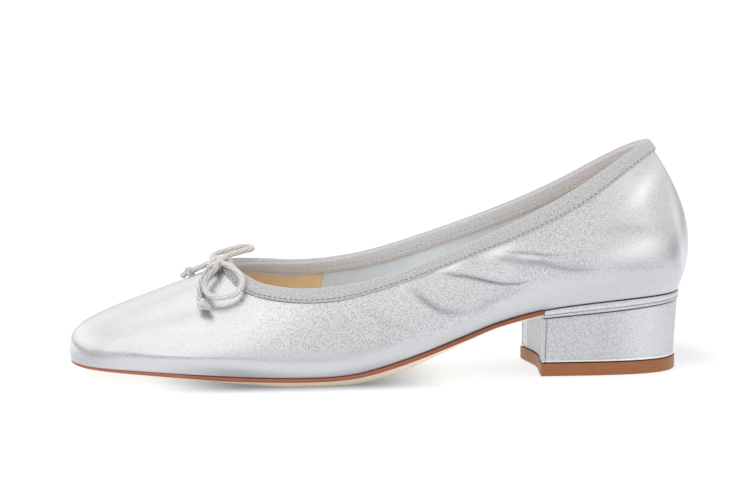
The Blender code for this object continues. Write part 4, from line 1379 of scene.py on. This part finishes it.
def capped(rings, cap_heights):
    """Rings of places, with a cap at each end: the end ring drawn in to the middle of its loop."""
    caps = []
    for ring, height in zip((rings[0], rings[-1]), cap_heights):
        cap = ring + CAP_SHARES[:, None, None] * (ring.mean(axis=0) - ring)
        cap[..., 2] = height(cap[..., 0])
        caps.append(cap)
    return np.concatenate([caps[0], np.array(rings), caps[1][::-1]])


def level_at(z):
    """A cap's height as a function of x: the same z everywhere."""
    return lambda x: np.full_like(x, z)


def capped_marks(levels_by_mark, columns):
    """Marks of a capped piece: each ring's levels over its columns, and the end rings' on the caps."""
    onto_caps = ((CAP_ROWS, CAP_ROWS), (0, 0))
    return {
        mark: np.pad(np.broadcast_to(levels, (len(levels), columns)), onto_caps, mode="edge")
        for mark, levels in levels_by_mark.items()
    }


print("heel seat from", heel_seat(BREAST_X), "to", heel_seat(HEEL_BACK_X), "mm")

# %% [markdown]
# ## Rand
# The rand is a strip of the silver leather over two cords, so it shows as a wide bead above a narrow one,
# with a line of painted shade where each meets its neighbour and a painted highlight on the wide bead.
# Each bead bulges as half an ellipse.

# %% Rand
RAND_ROWS = 25
RAND_GAP = 0.3
RAND_CORNER = 0.8
RAND_BASE = -0.15
LOOP_MM, RAND_MM = 190.0, 50.0
# share of the way down at the middle of each bead, its half height as a share, how far it stands out in mm
RAND_BEADS = [(0.33, 0.33, 0.50), (0.83, 0.17, 0.36)]
# share of the way down of each line of painted shade, its darkness
RAND_SHADE_LINES = [(0.0, 0.8), (0.66, 0.4), (1.0, 0.5)]
RAND_SHADE_HALF = 0.07
# painted highlight on the wide bead: its level, where it is and its half height
RAND_SHINE, RAND_SHINE_AT, RAND_SHINE_HALF = 0.2, 0.42, 0.14
RAND_TAUT = 0.4


def rand_top(x):
    """Height of the rand's upper edge: the feather less the gap."""
    return table_curve(FEATHER_HEIGHT, x) - RAND_GAP


down = np.linspace(0.0, 1.0, RAND_ROWS)
rand_out = RAND_BASE + sum(
    bulge * np.sqrt(np.clip(1 - ((down - at) / half) ** 2, 0.0, 1.0)) for at, half, bulge in RAND_BEADS
)
rand_rings = []
for share, outward in zip(down, rand_out):
    plan = heel_loop(outward, 0.0, RAND_CORNER)
    high = rand_top(plan[:, 0])
    rand_rings.append(np.column_stack([plan, high + share * (heel_seat(plan[:, 0]) - high)]))
rand = capped(rand_rings, (rand_top, heel_seat))
# Painted shade in the lines between beads, and a painted highlight on the wide bead.
rand_marks = capped_marks({
    "crease": sum(level * bell(down - at, RAND_SHADE_HALF) for at, level in RAND_SHADE_LINES)[:, None],
    "painted_highlight": RAND_SHINE * bell(down - RAND_SHINE_AT, RAND_SHINE_HALF)[:, None],
    "taut": np.full((RAND_ROWS, 1), RAND_TAUT),
}, rand.shape[1])
rand_piece = add_surface("heel_rand_bead", rand, LOOP_MM, RAND_MM, rand_marks, wrap_columns=True)
dress(rand_piece, silver, "silver_leather", "heel_rand")

# %% [markdown]
# ## Block
# The block tapers a little towards the floor and its cover rolls out in a bead above the top piece, which
# has a painted highlight. The cover's edges turn on to the breast: there is a small bead on the corner, a
# groove beside it with painted shade, and a line of painted shade where the turned edge ends; the rest of
# the breast is painted darker, as painted shade. Tables along the heel give the painted shade and painted
# highlights of its sides.

# %% Block
BLOCK_LOW = 5.4
BLOCK_INSET, BLOCK_TAPER, BLOCK_FORWARD, BLOCK_CORNER = 0.3, 1.2, 0.3, 0.9
BLOCK_ROWS, BLOCK_SIDE = 22, (0.05, 0.95)
BLOCK_MM = 60.0
BEAD_HEIGHT, BEAD_HALF = 0.25, 0.55
GROOVE_DEPTH, GROOVE_AT, GROOVE_HALF = 0.3, 1.0, 0.32
# darkness of the painted shade in the groove and on the breast; the painted highlight on the lower bead
GROOVE_DARK, BREAST_DARK, EDGE_SHINE = 0.7, 0.28, 0.9
# the line of painted shade where the cover's turned edge ends
STRIP_MM, STRIP_LINE, STRIP_DARK = 8.0, 2.2, 0.75
# share of the way down and how far in, at the rounded upper edge and at the bead of the lower one
TOP_EDGE = [(0.0, 0.45), (0.008, 0.18), (0.02, 0.04)]
LOW_EDGE = [(0.965, -0.1), (0.98, -0.18), (0.99, -0.1), (1.0, 0.3)]
# distance from the toe, then: tautness, painted shade and painted highlight of the block's sides
BLOCK_TAUT = [(186.0, 0.1), (212.0, 0.2), (235.0, 0.45), (250.0, 0.45)]
BLOCK_SHADE = [
    (186.0, 0.13), (210.0, 0.13), (222.0, 0.0), (235.0, 0.0), (239.0, 0.07), (242.5, 0.2), (250.0, 0.2),
]
BLOCK_SHINE = [(186.0, 0.0), (217.0, 0.0), (229.0, 0.16), (235.0, 0.05), (238.0, 0.0), (250.0, 0.0)]


def from_corner(loop):
    """Distance along the loop from the nearer breast corner, and where the loop is on the breast itself."""
    steps = np.linalg.norm(np.roll(loop, -1, axis=0) - loop, axis=1)
    along = walked(steps)[:-1]
    corner = np.minimum(np.minimum(along, steps.sum() - along), np.abs(along - along[HEEL_STEPS - 1]))
    return corner, np.arange(len(loop)) >= HEEL_STEPS


middle_rows = [(share, 0.0) for share in np.linspace(*BLOCK_SIDE, BLOCK_ROWS)]
block_rings, block_dark, block_shine, block_taut = [], [], [], []
for share, tuck in TOP_EDGE + middle_rows + LOW_EDGE:
    loop = heel_loop(-BLOCK_INSET - BLOCK_TAPER * share - tuck, BLOCK_FORWARD * share - tuck, BLOCK_CORNER)
    plan = raked(loop, share)
    corner, on_breast = from_corner(plan)
    tangent = unit(np.roll(plan, -1, axis=0) - np.roll(plan, 1, axis=0))
    groove = bell(corner - GROOVE_AT, GROOVE_HALF)
    raise_by = BEAD_HEIGHT * bell(corner, BEAD_HALF) - GROOVE_DEPTH * groove
    plan = plan + raise_by[:, None] * np.column_stack([tangent[:, 1], -tangent[:, 0]])
    x, y = plan.T
    high = heel_seat(x) - RAND_GAP
    block_rings.append(np.column_stack([plan, high + share * (BLOCK_LOW - high)]))
    # Painted shade: groove, turned-edge line, breast panel and sides; painted highlight: lower bead and
    # sides.
    strip = STRIP_DARK * (on_breast & (y < 0)) * bell(corner - STRIP_MM, STRIP_LINE)
    panel = BREAST_DARK * on_breast * (corner > STRIP_MM)
    side_dark = table_curve(BLOCK_SHADE, x) * ~on_breast
    block_dark.append(np.maximum.reduce([GROOVE_DARK * groove, strip, panel, side_dark]))
    block_shine.append(np.maximum(table_curve(BLOCK_SHINE, x), EDGE_SHINE * (tuck < 0)) * ~on_breast)
    block_taut.append(table_curve(BLOCK_TAUT, x))
block = capped(block_rings, (lambda x: heel_seat(x) - RAND_GAP, level_at(BLOCK_LOW)))
block_marks = capped_marks({"crease": block_dark, "painted_highlight": block_shine, "taut": block_taut}, block.shape[1])
block_piece = add_surface("heel_block_cover", block, LOOP_MM, BLOCK_MM, block_marks, wrap_columns=True)
dress(block_piece, silver, "silver_leather", "heel_block")

# %% [markdown]
# ## Leather board
# The top piece is a stacked lift: thin layers of leather board, pressed, trimmed and stained caramel. The
# trimming leaves fine level lines, and the edge is waxed, so it has a low sheen. Layers are about 1.2 mm,
# and the fibres lie along them, which a noise squeezed in height shows as streaks.

# %% Material: stacked leather board
LAYER_MM, LAYER_SHADE = 1.2, 0.12
BOARD_FIBRE_MM, BOARD_FIBRE_DEPTH_MM = 6.0, 0.1
FIBRE_SQUEEZE = (1.0, 1.0, 8.0)

stacked, tree, shader = new_material("caramel_leather_board", {"Roughness": 0.45})
place = add_node(tree, "TexCoord")["Object"]
layers = add_node(
    tree, "TexWave",
    {
        "Vector": place, "Scale": WAVE_TURN / (LAYER_MM * MM),
        "Distortion": 0.4, "Detail": 2.0, "Detail Scale": 40.0,
    },
    bands_direction="Z",
)["Color"]
streaks = add_node(tree, "Mapping", {"Vector": place, "Scale": FIBRE_SQUEEZE})["Vector"]
fibre = add_node(
    tree, "TexNoise",
    {"Vector": streaks, "Scale": 1 / (BOARD_FIBRE_MM * MM), "Detail": 6.0, "Roughness": 0.65},
)["Fac"]
stain = add_node(tree, "Mix", {0: fibre, 6: linear("#87512B"), 7: linear("#AC6C3B")}, **TINT)[2]
board = add_node(tree, "Mix", {0: LAYER_SHADE, 6: stain, 7: layers}, **TIMES)[2]
trimmed = add_node(
    tree, "Bump", {"Height": fibre, "Strength": 0.25, "Distance": BOARD_FIBRE_DEPTH_MM * MM}
)["Normal"]
plug(shader, {"Base Color": board, "Normal": trimmed})
print("leather board: layers of", LAYER_MM, "mm")

# %% [markdown]
# ## Top piece
# The top piece stands a little proud of the block all round and has its edges barely rounded. It is the
# same loop as the block's lowest one, moved out, at a few heights.

# %% Top piece
LIFT_HEIGHT, LIFT_PROUD, LIFT_CORNER = 5.1, 0.6, 0.5
LIFT_MM = 40.0
# share of the height, how far in
LIFT_EDGE = [
    (1.0, 0.3), (0.985, 0.08), (0.95, 0.0), (0.75, 0.0), (0.5, 0.0), (0.25, 0.0), (0.06, 0.0),
    (0.02, 0.12), (0.0, 0.4),
]

lift_rings = []
for share, tuck in LIFT_EDGE:
    outward, forward = LIFT_PROUD - BLOCK_INSET - BLOCK_TAPER - tuck, BLOCK_FORWARD + LIFT_PROUD - tuck
    plan = raked(heel_loop(outward, forward, LIFT_CORNER), 1.0)
    lift_rings.append(np.column_stack([plan, np.full(len(plan), LIFT_HEIGHT * share)]))
lift = capped(lift_rings, (level_at(LIFT_HEIGHT), level_at(0.0)))
lift_piece = add_surface("heel_top_lift", lift, LOOP_MM, LIFT_MM, wrap_columns=True)
dress(lift_piece, stacked, "heel_lift", "heel_top_piece")

# %% [markdown]
# ## Floor
# The shoe stands on white paper with a painted glow that keeps it white and lightens real shadows. The
# faint shade under the arch and behind the heel is painted shadow in the paper's colour and glow: each is a
# soft rectangle, full in its middle and gone at its rim, and their levels multiply.

# %% Floor
FLOOR_HALF, FLOOR_Z = 12.0, -1e-4
PULP_MM = 80.0
# middle (x, y), full and vanishing half length, full and vanishing half width in metres, depth of the painted
# shadow
PAINTED_SHADOWS = [
    ((-0.036, 0.0), (0.020, 0.064), (0.032, 0.051), 0.67),
    ((0.122, 0.030), (0.006, 0.032), (0.006, 0.050), 0.2),
]

# The emission is a painted glow: the paper is no lamp.
paper, tree, shader = new_material("white_paper", {"Roughness": 0.9, "Emission Strength": 0.7})
place = add_node(tree, "TexCoord")["Object"]
pulp = add_node(tree, "TexNoise", {"Vector": place, "Scale": 1 / (PULP_MM * MM), "Detail": 3.0})["Fac"]
white = add_node(tree, "Mix", {0: pulp, 6: linear("#94979C"), 7: linear("#999CA1")}, **TINT)[2]
axes = add_node(tree, "SeparateXYZ", {"Vector": place})
levels = []
for (middle_x, middle_y), long, wide, depth in PAINTED_SHADOWS:
    covers = []
    for axis, middle, (full, none) in (("X", middle_x, long), ("Y", middle_y, wide)):
        away = add_node(tree, "Math", {0: axes[axis], 1: middle}, operation="SUBTRACT")["Value"]
        away = add_node(tree, "Math", {0: away}, operation="ABSOLUTE")["Value"]
        covers.append(add_node(
            tree, "MapRange",
            {"Value": away, "From Min": full, "From Max": none, "To Min": 1.0, "To Max": 0.0},
            interpolation_type="SMOOTHSTEP",
        )["Result"])
    cover = add_node(tree, "Math", dict(enumerate(covers)), operation="MULTIPLY")["Value"]
    painted_shadow_level = add_node(tree, "MapRange", {"Value": cover, "To Min": 1.0, "To Max": 1.0 - depth})["Result"]
    levels.append(painted_shadow_level)
painted_shadow_factor = add_node(tree, "Math", dict(enumerate(levels)), operation="MULTIPLY")["Value"]
shaded = add_node(tree, "Mix", {0: 1.0, 6: white, 7: painted_shadow_factor}, **TIMES)[2]
# Painted shadow: the paper's colour and its glow are both darkened by the rectangles.
plug(shader, {"Base Color": shaded, "Emission Color": painted_shadow_factor})
floor_mesh = bpy.data.meshes.new("floor")
corners = [(x * FLOOR_HALF, y * FLOOR_HALF, FLOOR_Z) for x, y in ((-1, -1), (1, -1), (1, 1), (-1, 1))]
floor_mesh.from_pydata(corners, [], [(0, 1, 2, 3)])
floor_mesh.materials.append(paper)
floor = bpy.data.objects.new("floor", floor_mesh)
bpy.context.collection.objects.link(floor)
print("floor of", 2 * FLOOR_HALF, "m with", len(PAINTED_SHADOWS), "soft shades")

# %% [markdown]
# ## Light
# Metal shows what it mirrors, so the room matters more than the lamps: it is brightest overhead and falls
# to a soft grey at the level of the eye, which gives the silver its light top and its calmer sides. Four
# soft boxes round the shoe add a gentle direction.

# %% Light
# sine of the height that the room is seen at, its brightness there
ROOM = [(0.0, 0.35), (0.05, 0.46), (0.18, 1.03), (0.6, 1.03), (0.85, 1.12), (1.0, 1.2)]
# lamp, place, width and height in metres, power in watts
SOFTBOXES = [
    ("overhead_softbox", (-0.36, 0.0, 1.36), (0.7, 0.6), 0.6),
    ("left_softbox", (-0.92, -0.74, 0.80), (0.92, 1.5), 2.0),
    ("right_softbox", (1.0, -1.0, 0.51), (0.42, 0.75), 0.42),
    ("back_softbox", (-0.55, 1.0, 0.95), (1.1, 0.9), 0.95),
]

world = bpy.data.worlds.new("studio")
bpy.context.scene.world = world
world.use_nodes = True
tree = world.node_tree
place = add_node(tree, "TexCoord")["Generated"]
height = add_node(tree, "SeparateXYZ", {"Vector": place})["Z"]
room = add_node(tree, "ValToRGB", {"Fac": height})["Color"]
ramp = room.node.color_ramp
ramp.interpolation = "EASE"
for _ in ROOM[2:]:
    ramp.elements.new(0.5)
for stop, (sine, level) in zip(ramp.elements, ROOM):
    stop.position, stop.color = sine, (level, level, level, 1.0)
plug(tree.nodes["Background"], {"Color": room})

for name, spot, size, power in SOFTBOXES:
    lamp = bpy.data.lights.new(name, "AREA")
    lamp.shape, lamp.size, lamp.size_y, lamp.energy = "RECTANGLE", *size, power
    lamp_object = bpy.data.objects.new(name, lamp)
    lamp_object.location = spot
    lamp_object.rotation_euler = (Vector(AIM) - Vector(spot)).to_track_quat("-Z", "Y").to_euler()
    bpy.context.collection.objects.link(lamp_object)
bpy.context.scene.view_settings.view_transform = "Standard"
print(len(SOFTBOXES), "soft boxes")
